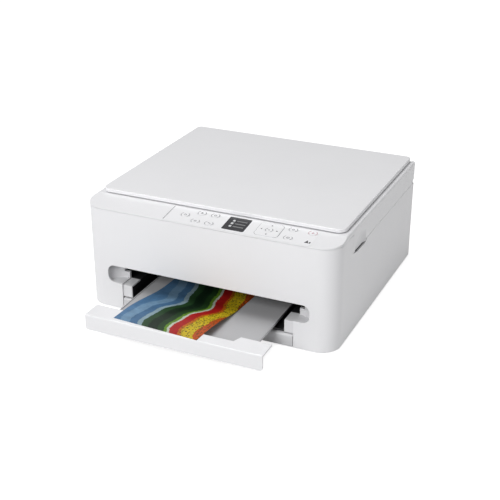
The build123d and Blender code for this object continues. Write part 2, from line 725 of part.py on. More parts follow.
FRONT_HALF = NOTCH_HALF - CASSETTE_FRONT_GAP
FRONT_BOTTOM = FOOT_HEIGHT + SLIDING
with BuildPart() as cassette_front:
    block((-FRONT_HALF, FRONT_HALF), (0, CASSETTE_FRONT_DEPTH), (FRONT_BOTTOM, CASSETTE_FRONT_TOP))
    fillet(cassette_front.edges().filter_by(Axis.X).group_by(Axis.Z)[-1], CASSETTE_FRONT_ROUND)
    block(
        (WALL - FRONT_HALF, FRONT_HALF - WALL),
        (WALL, CASSETTE_FRONT_DEPTH - WALL),
        (FRONT_BOTTOM, CASSETTE_FRONT_TOP - WALL),
        Mode.SUBTRACT,
    )
cassette_front.part.label = "cassette_front"

# Sliding paper guides in the cassette
GUIDE_BOTTOM = CASSETTE_INSIDE + SLIDING
with BuildPart() as paper_guide_right:
    block(
        (GUIDE_FACE, GUIDE_FACE + GUIDE_THICKNESS),
        (GUIDE_NEAR, GUIDE_FAR),
        (GUIDE_BOTTOM, CASSETTE_TOP - 2 * SLIDING),
    )
    block(
        (GUIDE_FACE - GUIDE_FOOT, GUIDE_FACE),
        (GUIDE_NEAR + GUIDE_FOOT_INSET, GUIDE_FAR - GUIDE_FOOT_INSET),
        (GUIDE_BOTTOM, GUIDE_BOTTOM + GUIDE_FOOT_THICKNESS),
    )
paper_guide_right.part.label = "paper_guide_right"

with BuildPart() as paper_guide_left:
    mirror(paper_guide_right.part, about=Plane.YZ)
paper_guide_left.part.label = "paper_guide_left"

# Engine chassis: two side plates, the rail plate and a tie plate
across = (-CHASSIS_OUTER, CHASSIS_OUTER)
with BuildPart() as engine_chassis:
    for side in (-1, 1):
        plate = (side * CHASSIS_HALF, side * CHASSIS_OUTER)
        block(plate, (CHASSIS_FRONT, CHASSIS_REAR), (PAN_TOP, CHASSIS_TOP))
    block((-CHASSIS_HALF, CHASSIS_HALF), (RAIL_PLATE_DEEP, MOTOR_FRONT), (RAIL_PLATE_BOTTOM, CHASSIS_TOP))
    block(
        (-CHASSIS_HALF, CHASSIS_HALF),
        (CHANNEL_LENGTH + TIE_GAP, RAIL_PLATE_DEEP),
        (TIE_TOP - TIE_THICKNESS, TIE_TOP),
    )
    bar(FEED_SHAFT + RUNNING, across, FEED_DEEP, ROLLER_Z, Mode.SUBTRACT)
    bar(EXIT_SHAFT + RUNNING, across, EXIT_DEEP, ROLLER_Z, Mode.SUBTRACT)
    bar(PINCH_SHAFT + RUNNING, across, PINCH_DEEP, PINCH_Z, Mode.SUBTRACT)
    bar(ROD_RADIUS + RUNNING, across, ROD_DEEP, ROD_Z, Mode.SUBTRACT)
    bar(ARM_SHAFT + RUNNING, across, ARM_PIVOT_DEEP, ARM_PIVOT_Z, Mode.SUBTRACT)
    left_wall = (-CHASSIS_OUTER, -CHASSIS_HALF)
    bar(MOTOR_SHAFT + RUNNING, left_wall, PINION_DEEP, ROLLER_Z, Mode.SUBTRACT)
    bar(MOTOR_SHAFT + RUNNING, left_wall, IDLER_DEEP, ROLLER_Z, Mode.SUBTRACT)
    for side in (-1, 1):
        stub(MOTOR_SHAFT + RUNNING, side * PULLEY_X, (RAIL_PLATE_DEEP, MOTOR_FRONT), PULLEY_Z, Mode.SUBTRACT)
engine_chassis.part.label = "engine_chassis"

# Guide rod of the ink carriage
with BuildPart() as guide_rod:
    bar(ROD_RADIUS, across, ROD_DEEP, ROD_Z)
guide_rod.part.label = "guide_rod"

# Platen on two legs that stand on the channel walls
with BuildPart() as platen:
    block((-LOWER_OUTER, LOWER_OUTER), (PLATEN_NEAR, PLATEN_FAR), (PLATEN_TOP - PLATEN_THICKNESS, PLATEN_TOP))
    for side in (-1, 1):
        block((side * BLOCK_HALF, side * LOWER_OUTER), (PLATEN_NEAR, PLATEN_FAR), (LOWER_TOP, PLATEN_TOP))
    with Locations((0, back((PLATEN_NEAR + PLATEN_FAR) / 2), PLATEN_TOP)):
        with GridLocations(PLATEN_RIB_PITCH, 0, PLATEN_RIBS, 1):
            Box(
                PLATEN_RIB_WIDTH,
                PLATEN_FAR - PLATEN_NEAR - 2 * PLATEN_RIB_WIDTH,
                PLATEN_RIB_HEIGHT,
                align=(Align.CENTER, Align.CENTER, Align.MIN),
            )
platen.part.label = "platen"

# Feed roller and the smaller exit roller in front of it
with BuildPart() as feed_roller:
    bar(FEED_SHAFT, (SHAFT_LEFT, SHAFT_RIGHT), FEED_DEEP, ROLLER_Z)
    bar(FEED_RADIUS, (-FEED_HALF, FEED_HALF), FEED_DEEP, ROLLER_Z)
feed_roller.part.label = "feed_roller"

with BuildPart() as exit_roller:
    bar(EXIT_SHAFT, (SHAFT_LEFT, SHAFT_RIGHT), EXIT_DEEP, ROLLER_Z)
    for place in RING_X:
        bar(EXIT_RADIUS, (place - EXIT_RING_HALF, place + EXIT_RING_HALF), EXIT_DEEP, ROLLER_Z)
exit_roller.part.label = "exit_roller"

with BuildPart() as pinch_roller:
    bar(PINCH_SHAFT, across, PINCH_DEEP, PINCH_Z)
    for place in RING_X:
        bar(PINCH_RADIUS, (place - PINCH_RING_HALF, place + PINCH_RING_HALF), PINCH_DEEP, PINCH_Z)
pinch_roller.part.label = "pinch_roller"

# Gear train on the left side plate
with BuildPart() as feed_gear:
    with BuildSketch(Plane.YZ.offset(GEAR_LEFT)):
        with Locations((back(FEED_DEEP), ROLLER_Z)):
            gear_outline(FEED_TEETH, TOWARDS_FRONT)
            Circle(FEED_SHAFT, mode=Mode.SUBTRACT)
    extrude(amount=GEAR_WIDTH)
feed_gear.part.label = "feed_gear"

with BuildPart() as exit_gear:
    with BuildSketch(Plane.YZ.offset(GEAR_LEFT)):
        with Locations((back(EXIT_DEEP), ROLLER_Z)):
            gear_outline(EXIT_TEETH, TOWARDS_REAR)
            Circle(EXIT_SHAFT, mode=Mode.SUBTRACT)
    extrude(amount=GEAR_WIDTH)
exit_gear.part.label = "exit_gear"

with BuildPart() as idler_gear:
    with BuildSketch(Plane.YZ.offset(GEAR_LEFT)):
        with Locations((back(IDLER_DEEP), ROLLER_Z)):
            gear_outline(IDLER_TEETH, pi / IDLER_TEETH)
    extrude(amount=GEAR_WIDTH)
    bar(MOTOR_SHAFT, (GEAR_RIGHT, -CHASSIS_HALF), IDLER_DEEP, ROLLER_Z)
idler_gear.part.label = "idler_gear"

with BuildPart() as motor_pinion:
    with BuildSketch(Plane.YZ.offset(GEAR_LEFT)):
        with Locations((back(PINION_DEEP), ROLLER_Z)):
            gear_outline(PINION_TEETH, pi + pi / PINION_TEETH)
    extrude(amount=GEAR_WIDTH)
    bar(MOTOR_SHAFT, (GEAR_RIGHT, MOTOR_SHAFT_DEEP - CHASSIS_HALF), PINION_DEEP, ROLLER_Z)
motor_pinion.part.label = "motor_pinion"

with BuildPart() as feed_motor:
    bar(MOTOR_RADIUS, (-CHASSIS_HALF, MOTOR_LENGTH - CHASSIS_HALF), PINION_DEEP, ROLLER_Z)
    bore = (-CHASSIS_HALF, MOTOR_SHAFT_DEEP + OVERLAP - CHASSIS_HALF)
    bar(MOTOR_SHAFT + RUNNING, bore, PINION_DEEP, ROLLER_Z, Mode.SUBTRACT)
feed_motor.part.label = "feed_motor"

# Carriage drive: motor behind the rail plate, two pulleys and the belt
with BuildPart() as carriage_motor:
    stub(MOTOR_RADIUS, MOTOR_SHIFT - PULLEY_X, (MOTOR_FRONT, MOTOR_FRONT + MOTOR_LENGTH), PULLEY_Z)
    bore = (MOTOR_FRONT, MOTOR_FRONT + MOTOR_SHAFT_DEEP + OVERLAP)
    stub(MOTOR_SHAFT + RUNNING, -PULLEY_X, bore, PULLEY_Z, Mode.SUBTRACT)
carriage_motor.part.label = "carriage_motor"


def pulley(x, shaft_end):
    """Flanged pulley on a shaft that runs back into the rail plate."""
    near = BELT_FRONT - PULLEY_SIDE
    stub(PULLEY_RADIUS, x, (near, BELT_BACK + PULLEY_SIDE), PULLEY_Z)
    stub(PULLEY_RADIUS + PULLEY_FLANGE, x, (near - PULLEY_FLANGE_THICKNESS, near), PULLEY_Z)
    stub(MOTOR_SHAFT, x, (BELT_BACK, shaft_end), PULLEY_Z)


with BuildPart() as carriage_pulley:
    pulley(-PULLEY_X, MOTOR_FRONT + MOTOR_SHAFT_DEEP)
carriage_pulley.part.label = "carriage_pulley"

with BuildPart() as carriage_idler:
    pulley(PULLEY_X, MOTOR_FRONT + OVERLAP)
carriage_idler.part.label = "carriage_idler"

with BuildPart() as carriage_belt:
    with BuildSketch(Plane.XZ.offset(-back(BELT_FRONT))):
        with Locations((0, PULLEY_Z)):
            SlotCenterToCenter(2 * PULLEY_X, 2 * (BELT_INNER + BELT_THICKNESS))
            SlotCenterToCenter(2 * PULLEY_X, 2 * BELT_INNER, mode=Mode.SUBTRACT)
    extrude(amount=-BELT_WIDTH)
carriage_belt.part.label = "carriage_belt"

# Ink carriage, parked at the right, with two bays
with BuildPart() as carriage:
    block((CARRIAGE_LEFT, CARRIAGE_RIGHT), (CARRIAGE_FRONT, CARRIAGE_BACK), (CARRIAGE_BOTTOM, CARRIAGE_TOP))
    for bay in ((CARRIAGE_LEFT, CARRIAGE_PARK), (CARRIAGE_PARK, CARRIAGE_RIGHT)):
        block(
            (bay[0] + CARRIAGE_WALL, bay[1] - CARRIAGE_WALL),
            (CARRIAGE_FRONT + CARRIAGE_WALL, CARRIAGE_BACK - CARRIAGE_WALL),
            (CARRIAGE_BOTTOM + CARRIAGE_WALL, CARRIAGE_TOP),
            Mode.SUBTRACT,
        )
    for lug in ((CARRIAGE_LEFT, CARRIAGE_LEFT + LUG_WIDTH), (CARRIAGE_RIGHT - LUG_WIDTH, CARRIAGE_RIGHT)):
        block(lug, (CARRIAGE_BACK, ROD_DEEP + LUG_REACH), (CARRIAGE_BOTTOM + OVERLAP, ROD_Z + LUG_REACH))
    clamp = (CARRIAGE_PARK - CLAMP_HALF, CARRIAGE_PARK + CLAMP_HALF)
    clamp_back = BELT_BACK + OVERLAP
    belt_room = BELT_THICKNESS / 2 + SLIDING
    block(clamp, (CARRIAGE_BACK, clamp_back), (BELT_RUN - CLAMP_BELOW, BELT_RUN + CLAMP_ABOVE))
    belt_slit = (BELT_RUN - belt_room, BELT_RUN + belt_room)
    block(clamp, (BELT_FRONT - OVERLAP, clamp_back), belt_slit, Mode.SUBTRACT)
    bar(ROD_RADIUS + RUNNING, (CARRIAGE_LEFT, CARRIAGE_RIGHT), ROD_DEEP, ROD_Z, Mode.SUBTRACT)
carriage.part.label = "carriage"


def cartridge(left, right):
    """Ink cartridge between two walls of a bay: box with the top of its front sloped."""
    near = CARRIAGE_FRONT + CARRIAGE_WALL + SLIDING
    far = CARRIAGE_BACK - CARRIAGE_WALL - SLIDING
    low = CARRIAGE_BOTTOM + CARRIAGE_WALL
    with BuildSketch(Plane.YZ.offset(left + CARRIAGE_WALL + SLIDING)) as side_view:
        with BuildLine():
            Polyline(
                (back(near), low),
                (back(far), low),
                (back(far), CARTRIDGE_TOP),
                (back(near + CARTRIDGE_SLOPE_RUN), CARTRIDGE_TOP),
                (back(near), CARTRIDGE_TOP - CARTRIDGE_SLOPE_DROP),
                close=True,
            )
        make_face()
    extrude(side_view.sketch, amount=right - left - 2 * (CARRIAGE_WALL + SLIDING))


with BuildPart() as ink_cartridge_black:
    cartridge(CARRIAGE_PARK, CARRIAGE_RIGHT)
ink_cartridge_black.part.label = "ink_cartridge_black"

with BuildPart() as ink_cartridge_colour:
    cartridge(CARRIAGE_LEFT, CARRIAGE_PARK)
ink_cartridge_colour.part.label = "ink_cartridge_colour"

# Purge unit under the parked carriage
with BuildPart() as purge_unit:
    block((LOWER_OUTER + 2 * OVERLAP, CHASSIS_HALF - OVERLAP), (PURGE_NEAR, PURGE_FAR), (PAN_TOP, PURGE_TOP))
    for shift in CAP_SHIFTS:
        cap = CAP_MIDDLE + shift
        well = CAP_HALF - CAP_WALL
        block((cap - CAP_HALF, cap + CAP_HALF), (CAP_NEAR, CAP_FAR), (PURGE_TOP, CAP_TOP))
        block(
            (cap - well, cap + well),
            (CAP_NEAR + CAP_WALL, CAP_FAR - CAP_WALL),
            (CAP_TOP - CAP_WELL, CAP_TOP),
            Mode.SUBTRACT,
        )
purge_unit.part.label = "purge_unit"

# Pickup arm and its roller
ROLL_SPAN = (-ARM_HALF - ARM_CHEEK, ARM_HALF + ARM_CHEEK)
with BuildPart() as pickup_arm:
    bar(ARM_SHAFT, across, ARM_PIVOT_DEEP, ARM_PIVOT_Z)
    for side in (-1, 1):
        with BuildSketch(Plane.YZ.offset(side * ARM_HALF - ARM_CHEEK / 2)):
            with BuildLine():
                Line((back(ARM_PIVOT_DEEP), ARM_PIVOT_Z), (back(ROLL_DEEP), ROLL_Z))
            trace(line_width=2 * ARM_BOSS)
            with Locations((back(ARM_PIVOT_DEEP), ARM_PIVOT_Z), (back(ROLL_DEEP), ROLL_Z)):
                Circle(ARM_BOSS)
        extrude(amount=ARM_CHEEK)
    bar(ROLL_SHAFT + RUNNING, ROLL_SPAN, ROLL_DEEP, ROLL_Z, Mode.SUBTRACT)
pickup_arm.part.label = "pickup_arm"

with BuildPart() as pickup_roller:
    bar(ROLL_SHAFT, ROLL_SPAN, ROLL_DEEP, ROLL_Z)
    bar(PICKUP_RADIUS, (ARM_CHEEK - ARM_HALF, ARM_HALF - ARM_CHEEK), ROLL_DEEP, ROLL_Z)
pickup_roller.part.label = "pickup_roller"

# Rear cover with the ribs that turn the paper
COVER_FACE = BODY_DEPTH - COVER_THICKNESS
COVER_MIDDLE = (COVER_BOTTOM + COVER_TOP) / 2
RIB_HEIGHT = COVER_TOP - COVER_BOTTOM - 2 * RIB_MARGIN
with BuildPart() as rear_cover:
    block((-COVER_HALF, COVER_HALF), (COVER_FACE, BODY_DEPTH), (COVER_BOTTOM, COVER_TOP))
    for place in RIB_X:
        with BuildSketch(Plane.YZ.offset(place - RIB_THICKNESS / 2)):
            with Locations((back(COVER_FACE), COVER_MIDDLE)):
                Rectangle(RIB_DEPTH, RIB_HEIGHT, align=(Align.MAX, Align.CENTER))
            with Locations((back(COVER_FACE - RIB_DEPTH), COVER_MIDDLE)):
                Ellipse(RIB_DEPTH - RIB_NOSE, TURN_RADIUS, mode=Mode.SUBTRACT)
        extrude(amount=RIB_THICKNESS)
rear_cover.part.label = "rear_cover"

# Power supply with the two-pin mains inlet in its rear
SOCKET_FAR = BODY_DEPTH - SOCKET_SETBACK
with BuildPart() as power_supply:
    block((-SUPPLY_OUTER, -SUPPLY_INNER), (SUPPLY_NEAR, SUPPLY_FAR), (PAN_TOP, SUPPLY_TOP))
    block(
        (INLET_X - INLET_WIDTH / 2, INLET_X + INLET_WIDTH / 2),
        (SUPPLY_FAR, SOCKET_FAR),
        (INLET_Z - INLET_HEIGHT / 2, INLET_Z + INLET_HEIGHT / 2),
    )
    with BuildSketch(Plane.XZ.offset(-back(SOCKET_FAR))):
        with Locations((INLET_X, INLET_Z)):
            SlotCenterToCenter(INLET_PITCH, INLET_PITCH - SLIDING)
            with GridLocations(INLET_PITCH, 0, 2, 1):
                Circle(INLET_PIN, mode=Mode.SUBTRACT)
    extrude(amount=INLET_DEPTH, mode=Mode.SUBTRACT)
power_supply.part.label = "power_supply"

# Main board on four posts, with its chips and the data socket
with BuildPart() as main_board:
    block((BOARD_INNER, SUPPLY_OUTER), (SUPPLY_NEAR, SUPPLY_FAR), (BOARD_Z, CHIP_Z))
    for x in (BOARD_INNER + 2 * BOARD_POST, SUPPLY_OUTER - 2 * BOARD_POST):
        for depth in (SUPPLY_NEAR + 2 * BOARD_POST, SUPPLY_FAR - 2 * BOARD_POST):
            post_depth = (depth - BOARD_POST, depth + BOARD_POST)
            block((x - BOARD_POST, x + BOARD_POST), post_depth, (PAN_TOP, BOARD_Z))
    for across_chip, along_chip, chip_height in CHIPS:
        chip_x = (BOARD_INNER + across_chip[0], BOARD_INNER + across_chip[1])
        chip_depth = (SUPPLY_NEAR + along_chip[0], SUPPLY_NEAR + along_chip[1])
        block(chip_x, chip_depth, (CHIP_Z, CHIP_Z + chip_height))
    usb_half = USB_WIDTH / 2
    usb_inner = usb_half - USB_WALL
    usb_middle = CHIP_Z + USB_HEIGHT / 2
    tongue_half, tongue_rise = USB_TONGUE[0] / 2, USB_TONGUE[1] / 2
    block(
        (USB_X - usb_half, USB_X + usb_half),
        (BODY_DEPTH - USB_LENGTH, SOCKET_FAR),
        (CHIP_Z, CHIP_Z + USB_HEIGHT),
    )
    block(
        (USB_X - usb_inner, USB_X + usb_inner),
        (BODY_DEPTH - USB_LENGTH / 2, SOCKET_FAR),
        (CHIP_Z + USB_WALL, CHIP_Z + USB_HEIGHT - USB_WALL),
        Mode.SUBTRACT,
    )
    block(
        (USB_X - tongue_half, USB_X + tongue_half),
        (BODY_DEPTH - USB_LENGTH / 2 - OVERLAP, BODY_DEPTH - 2 * OVERLAP),
        (usb_middle - tongue_rise, usb_middle + tongue_rise),
    )
main_board.part.label = "main_board"

# Inner cover over the engine, open above the carriage
COVER_PLATE = 2.0
INK_BAY_ROOM = 10.0
with BuildPart() as inner_cover:
    extrude(housing_plan(CHASSIS_TOP + SLIDING, WALL + SLIDING), amount=COVER_PLATE)
    for half, near, far in (
        (CHASSIS_HALF - COVER_PLATE, CARRIAGE_FRONT - INK_BAY_ROOM, RAIL_PLATE_DEEP),
        (HALF_WIDTH, UPPER_AXIS_DEEP - UPPER_KNUCKLE - COVER_PLATE, BODY_DEPTH),
    ):
        block((-half, half), (near, far), (CHASSIS_TOP, CHASSIS_TOP + 2 * COVER_PLATE), Mode.SUBTRACT)
inner_cover.part.label = "inner_cover"

# Hinge pins of the scanner unit
with BuildPart() as upper_hinge_pins:
    for side in (-1, 1):
        bar(
            UPPER_PIN,
            (side * UPPER_HINGE_X - 2 * UPPER_KNUCKLE, side * UPPER_HINGE_X + 2 * UPPER_KNUCKLE),
            UPPER_AXIS_DEEP,
            UPPER_AXIS_Z,
        )
upper_hinge_pins.part.label = "upper_hinge_pins"


def pad_outline(grow):
    """Rounded square of the direction pad, grown all round."""
    with Locations(PAD_MIDDLE):
        RectangleRounded(PAD_RIGHT - PAD_LEFT + 2 * grow, PAD_FAR - PAD_NEAR + 2 * grow, PAD_CORNER + grow)


def screen_outline(grow):
    """Rounded rectangle of the display window, grown all round."""
    width = SCREEN_RIGHT - SCREEN_LEFT + 2 * grow
    length = SCREEN_FAR - SCREEN_NEAR + 2 * grow
    with Locations(((SCREEN_LEFT + SCREEN_RIGHT) / 2, (SCREEN_NEAR + SCREEN_FAR) / 2)):
        RectangleRounded(width, length, SCREEN_CORNER + grow)


def strip_holes(grow):
    """Outlines of every button and the pad on the strip, grown all round."""
    for _, x, up in FUNCTION_BUTTONS:
        with Locations((x, up)):
            Ellipse(BUTTON_WIDTH / 2 + grow, BUTTON_HEIGHT / 2 + grow)
    pad_outline(grow)


# Scanner frame: side skirts, sloped strip and the deck around the glass
FILM_LENGTH = STRIP_DEPTH - FILM_MARGIN - FILM_FAR_MARGIN
with BuildPart() as inner_space:
    extrude(housing_plan(CASE_SIDE_TOP, WALL), amount=DECK_UNDER - CASE_SIDE_TOP)
    with BuildSketch(STRIP.offset(-WALL)):
        with Locations((0, -BODY_DEPTH / 2)):
            Rectangle(2 * BODY_WIDTH, BODY_DEPTH / 2 + STRIP_DEPTH, align=(Align.CENTER, Align.MIN))
    extrude(amount=4 * DECK_THICKNESS, mode=Mode.SUBTRACT)

SKIRT_BOTTOM = CASE_SIDE_TOP + SEAM
SLEEVE_NEAR = LEG_NEAR - WALL
SLEEVE_FAR = BODY_DEPTH - OVERLAP
with BuildPart() as scanner_frame:
    extrude(housing_plan(SKIRT_BOTTOM, 0), amount=DECK_Z - SKIRT_BOTTOM)
    fillet(scanner_frame.faces().sort_by(Axis.Z)[-1].edges(), DECK_ROUND)
    with BuildSketch(STRIP):
        with Locations((0, -BODY_DEPTH / 2)):
            Rectangle(2 * BODY_WIDTH, BODY_DEPTH / 2 + STRIP_DEPTH + WALL, align=(Align.CENTER, Align.MIN))
    extrude(amount=4 * DECK_THICKNESS, mode=Mode.SUBTRACT)
    add(inner_space.part, mode=Mode.SUBTRACT)
    block(
        (-HALF_WIDTH, HALF_WIDTH),
        (0, STRIP_SIDE_DEPTH + SEAM),
        (SKIRT_BOTTOM, CASE_FRONT_TOP + SEAM),
        Mode.SUBTRACT,
    )
    block(
        (-HALF_WIDTH, HALF_WIDTH),
        (BODY_DEPTH - REAR_BAND, BODY_DEPTH),
        (SKIRT_BOTTOM, SKIRT_BOTTOM + REAR_LIFT),
        Mode.SUBTRACT,
    )
    # Window for the glass, which is held under a ledge
    for grow, top in ((-GLASS_LEDGE, DECK_Z), (SLIDING, GLASS_TOP)):
        block(
            (-GLASS_HALF - grow, GLASS_HALF + grow),
            (GLASS_NEAR - grow, GLASS_FAR + grow),
            (DECK_UNDER, top),
            Mode.SUBTRACT,
        )
    # Finger recesses: a thicker skirt with a tongue that hangs into the dip of the wall, and the dish
    for start in (-HALF_WIDTH, HALF_WIDTH - DISH_BLOCK):
        extrude(recess_outline(start, RECESS_GAP), amount=DISH_BLOCK)
    for side in (-1, 1):
        block(
            (side * (HALF_WIDTH - DISH_BLOCK), side * (HALF_WIDTH - OVERLAP)),
            (RECESS_NEAR + SEAM, RECESS_FAR + BASE_INSET / 2),
            (SKIRT_BOTTOM, DECK_UNDER),
        )
        dish_x = side * (HALF_WIDTH + DISH_RADIUS - DISH_DEPTH)
        stub(DISH_RADIUS, dish_x, (DISH_DEEP - DISH_REACH, DISH_DEEP + DISH_REACH), DISH_Z, Mode.SUBTRACT)
        for deep in (DISH_DEEP - DISH_REACH, DISH_DEEP + DISH_REACH):
            with Locations((dish_x, back(deep), DISH_Z)):
                Sphere(DISH_RADIUS, mode=Mode.SUBTRACT)
    # Sleeves for the lid's hinge legs, and lugs on the hinge pins
    for side in (-1, 1):
        sleeve_half = LEG_WIDTH / 2 + WALL
        knuckle = (side * UPPER_HINGE_X - UPPER_KNUCKLE, side * UPPER_HINGE_X + UPPER_KNUCKLE)
        lug_near = UPPER_AXIS_DEEP - UPPER_KNUCKLE + LUG_SLIM
        block(
            (side * LEG_X - sleeve_half, side * LEG_X + sleeve_half),
            (SLEEVE_NEAR, SLEEVE_FAR),
            (SKIRT_BOTTOM + REAR_LIFT, DECK_UNDER),
        )
        block(
            knuckle,
            (lug_near, UPPER_AXIS_DEEP + UPPER_KNUCKLE - LUG_SLIM),
            (UPPER_AXIS_Z, UPPER_AXIS_Z + LUG_HEIGHT),
        )
        block(knuckle, (lug_near, SLEEVE_FAR), (SKIRT_BOTTOM + REAR_LIFT, UPPER_AXIS_Z + LUG_HEIGHT))
        bar(UPPER_KNUCKLE, knuckle, UPPER_AXIS_DEEP, UPPER_AXIS_Z)
        bar(UPPER_PIN + RUNNING, knuckle, UPPER_AXIS_DEEP, UPPER_AXIS_Z, Mode.SUBTRACT)
    # Room behind the lid's axis for its rear edge, and the slots of the legs
    room_half = HALF_WIDTH - LID_SIDE_MARGIN + LID_ROOM
    block(
        (-room_half, room_half),
        (LID_AXIS_DEEP - LID_ROOM_NEAR, BODY_DEPTH),
        (LID_AXIS_Z - LID_ROOM_DROP, DECK_Z),
        Mode.SUBTRACT,
    )
    for side in (-1, 1):
        block(
            (side * LEG_X - LEG_WIDTH / 2 - SLIDING, side * LEG_X + LEG_WIDTH / 2 + SLIDING),
            (LEG_NEAR - SLIDING, LEG_FAR + SLIDING),
            (SKIRT_BOTTOM, DECK_Z),
            Mode.SUBTRACT,
        )
    # Even wall over the buttons, up to the lid
    with BuildSketch(STRIP.offset(-WALL)):
        with Locations((FILM_LEFT - WALL, BOARD_NEAR - WALL)):
            Rectangle(
                FILM_RIGHT - FILM_LEFT + 2 * WALL,
                STRIP_DEPTH + OVERLAP - BOARD_NEAR + WALL,
                align=(Align.MIN, Align.MIN),
            )
    extrude(amount=-BOARD_DROP - BOARD_THICKNESS, mode=Mode.SUBTRACT)
    # Recess for the film, with the holes of the buttons and the display
    with BuildSketch(STRIP.offset(-FILM_THICKNESS)):
        with Locations((FILM_LEFT, FILM_MARGIN)):
            Rectangle(FILM_RIGHT - FILM_LEFT, FILM_LENGTH, align=(Align.MIN, Align.MIN))
    extrude(amount=DECK_THICKNESS, mode=Mode.SUBTRACT)
    with BuildSketch(STRIP.offset(-2 * WALL)):
        strip_holes(SLIDING)
    extrude(amount=4 * WALL, mode=Mode.SUBTRACT)
    with BuildSketch(STRIP.offset(-SCREEN_THICKNESS)):
        screen_outline(FILM_GAP)
    extrude(amount=4 * WALL, mode=Mode.SUBTRACT)
scanner_frame.part.label = "scanner_frame"

# Film over the strip
with BuildPart() as control_panel:
    with BuildSketch(STRIP.offset(-FILM_THICKNESS)) as film:
        with Locations((FILM_LEFT + FILM_GAP, FILM_MARGIN + FILM_GAP)):
            Rectangle(
                FILM_RIGHT - FILM_LEFT - 2 * FILM_GAP, FILM_LENGTH - 2 * FILM_GAP, align=(Align.MIN, Align.MIN)
            )
        fillet(film.vertices().group_by(Axis.Y)[0].sort_by(Axis.X)[-1:], PAD_CORNER)
        with BuildSketch(STRIP.offset(-FILM_THICKNESS), mode=Mode.SUBTRACT):
            strip_holes(SLIDING)
            screen_outline(FILM_GAP)
    extrude(amount=FILM_THICKNESS)
control_panel.part.label = "control_panel"

with BuildPart() as display_window:
    with BuildSketch(STRIP.offset(-SCREEN_THICKNESS)):
        screen_outline(0)
    extrude(amount=SCREEN_THICKNESS)
display_window.part.label = "display_window"


def button_body(draw):
    """Cap that stands proud of its hole, with a flange under the strip that keeps it in."""
    drop = WALL + SLIDING + FLANGE_THICKNESS
    with BuildSketch(STRIP.offset(-drop)) as cap:
        draw(0)
    extrude(cap.sketch, amount=drop + BUTTON_PROUD)
    with BuildSketch(STRIP.offset(-drop)) as flange:
        draw(BUTTON_FLANGE)
    extrude(flange.sketch, amount=FLANGE_THICKNESS)


# Oval buttons
for name, x, up in FUNCTION_BUTTONS:

    def oval(grow):
        """Outline of this button, grown all round."""
        with Locations((x, up)):
            Ellipse(BUTTON_WIDTH / 2 + grow, BUTTON_HEIGHT / 2 + grow)

    with BuildPart() as button:
        button_body(oval)
    button.part.label = name
    export_step(button.part, f"parts/{name}.step")


def pad_ring(grow):
    """Direction pad with the round hole of the OK button."""
    pad_outline(grow)
    with Locations(PAD_MIDDLE):
        Circle(OK_RADIUS + SLIDING, mode=Mode.SUBTRACT)


def ok_round(grow):
    """Round of the OK button, which has no flange."""
    with Locations(PAD_MIDDLE):
        Circle(OK_RADIUS + min(grow, 0))


with BuildPart() as direction_pad:
    button_body(pad_ring)
direction_pad.part.label = "direction_pad"

with BuildPart() as ok_button:
    button_body(ok_round)
ok_button.part.label = "ok_button"

# Button board under the strip, hung on posts
with BuildPart() as button_board:
    with BuildSketch(STRIP.offset(-BOARD_DROP - BOARD_THICKNESS)):
        with Locations((FILM_LEFT, BOARD_NEAR)):
            Rectangle(FILM_RIGHT - FILM_LEFT, BOARD_FAR - BOARD_NEAR, align=(Align.MIN, Align.MIN))
    extrude(amount=BOARD_THICKNESS)
    with BuildSketch(STRIP.offset(-BOARD_DROP)):
        with Locations(*[(x, up) for x in POST_X for up in POST_UP]):
            Circle(POST_RADIUS)
    extrude(amount=BOARD_DROP - WALL)
button_board.part.label = "button_board"

# Scanner base: tray under the glass, with posts for the rod
BASE_HALF = HALF_WIDTH - BASE_INSET
BASE_REAR = SLEEVE_NEAR - EAR_ROOT
STRIP_CLEARANCE = 8.0
SCAN_ROD_RADIUS = 3.0
SCAN_ROD_RISE = 10.0
SCAN_ROD_Z = BASE_BOTTOM + SCAN_ROD_RISE
SCAN_POST = 5.0
SCAN_POST_WIDTH = 9.0
with BuildPart() as scanner_base:
    extrude(housing_plan(BASE_BOTTOM, BASE_INSET), amount=DECK_UNDER - BASE_BOTTOM)
    inside = housing_plan(BASE_BOTTOM + BASE_WALL, BASE_INSET + BASE_WALL)
    extrude(inside, amount=DECK_UNDER - BASE_BOTTOM, mode=Mode.SUBTRACT)
    block((-HALF_WIDTH, HALF_WIDTH), (BASE_REAR, BODY_DEPTH), (BASE_BOTTOM, DECK_UNDER), Mode.SUBTRACT)
    block(
        (-HALF_WIDTH, HALF_WIDTH),
        (0, STRIP_DEPTH + WALL),
        (STRIP_FRONT_Z - STRIP_CLEARANCE, DECK_UNDER),
        Mode.SUBTRACT,
    )
    block((-BASE_HALF, BASE_HALF), (BASE_REAR - BASE_WALL, BASE_REAR), (BASE_BOTTOM, DECK_UNDER))
    for side in (-1, 1):
        block(
            (side * (BASE_HALF - SCAN_POST_WIDTH), side * BASE_HALF),
            (GLASS_MIDDLE - SCAN_POST, GLASS_MIDDLE + SCAN_POST),
            (BASE_BOTTOM, SCAN_ROD_Z + SCAN_POST),
        )
        bore = (side * (BASE_HALF - SCAN_POST_WIDTH), side * (BASE_HALF - BASE_WALL))
        bar(SCAN_ROD_RADIUS + RUNNING, bore, GLASS_MIDDLE, SCAN_ROD_Z, Mode.SUBTRACT)
scanner_base.part.label = "scanner_base"

with BuildPart() as scan_glass:
    block((-GLASS_HALF, GLASS_HALF), (GLASS_NEAR, GLASS_FAR), (GLASS_TOP - GLASS_THICKNESS, GLASS_TOP))
scan_glass.part.label = "scan_glass"

with BuildPart() as scan_rod:
    bar(SCAN_ROD_RADIUS, (BASE_WALL - BASE_HALF, BASE_HALF - BASE_WALL), GLASS_MIDDLE, SCAN_ROD_Z)
scan_rod.part.label = "scan_rod"

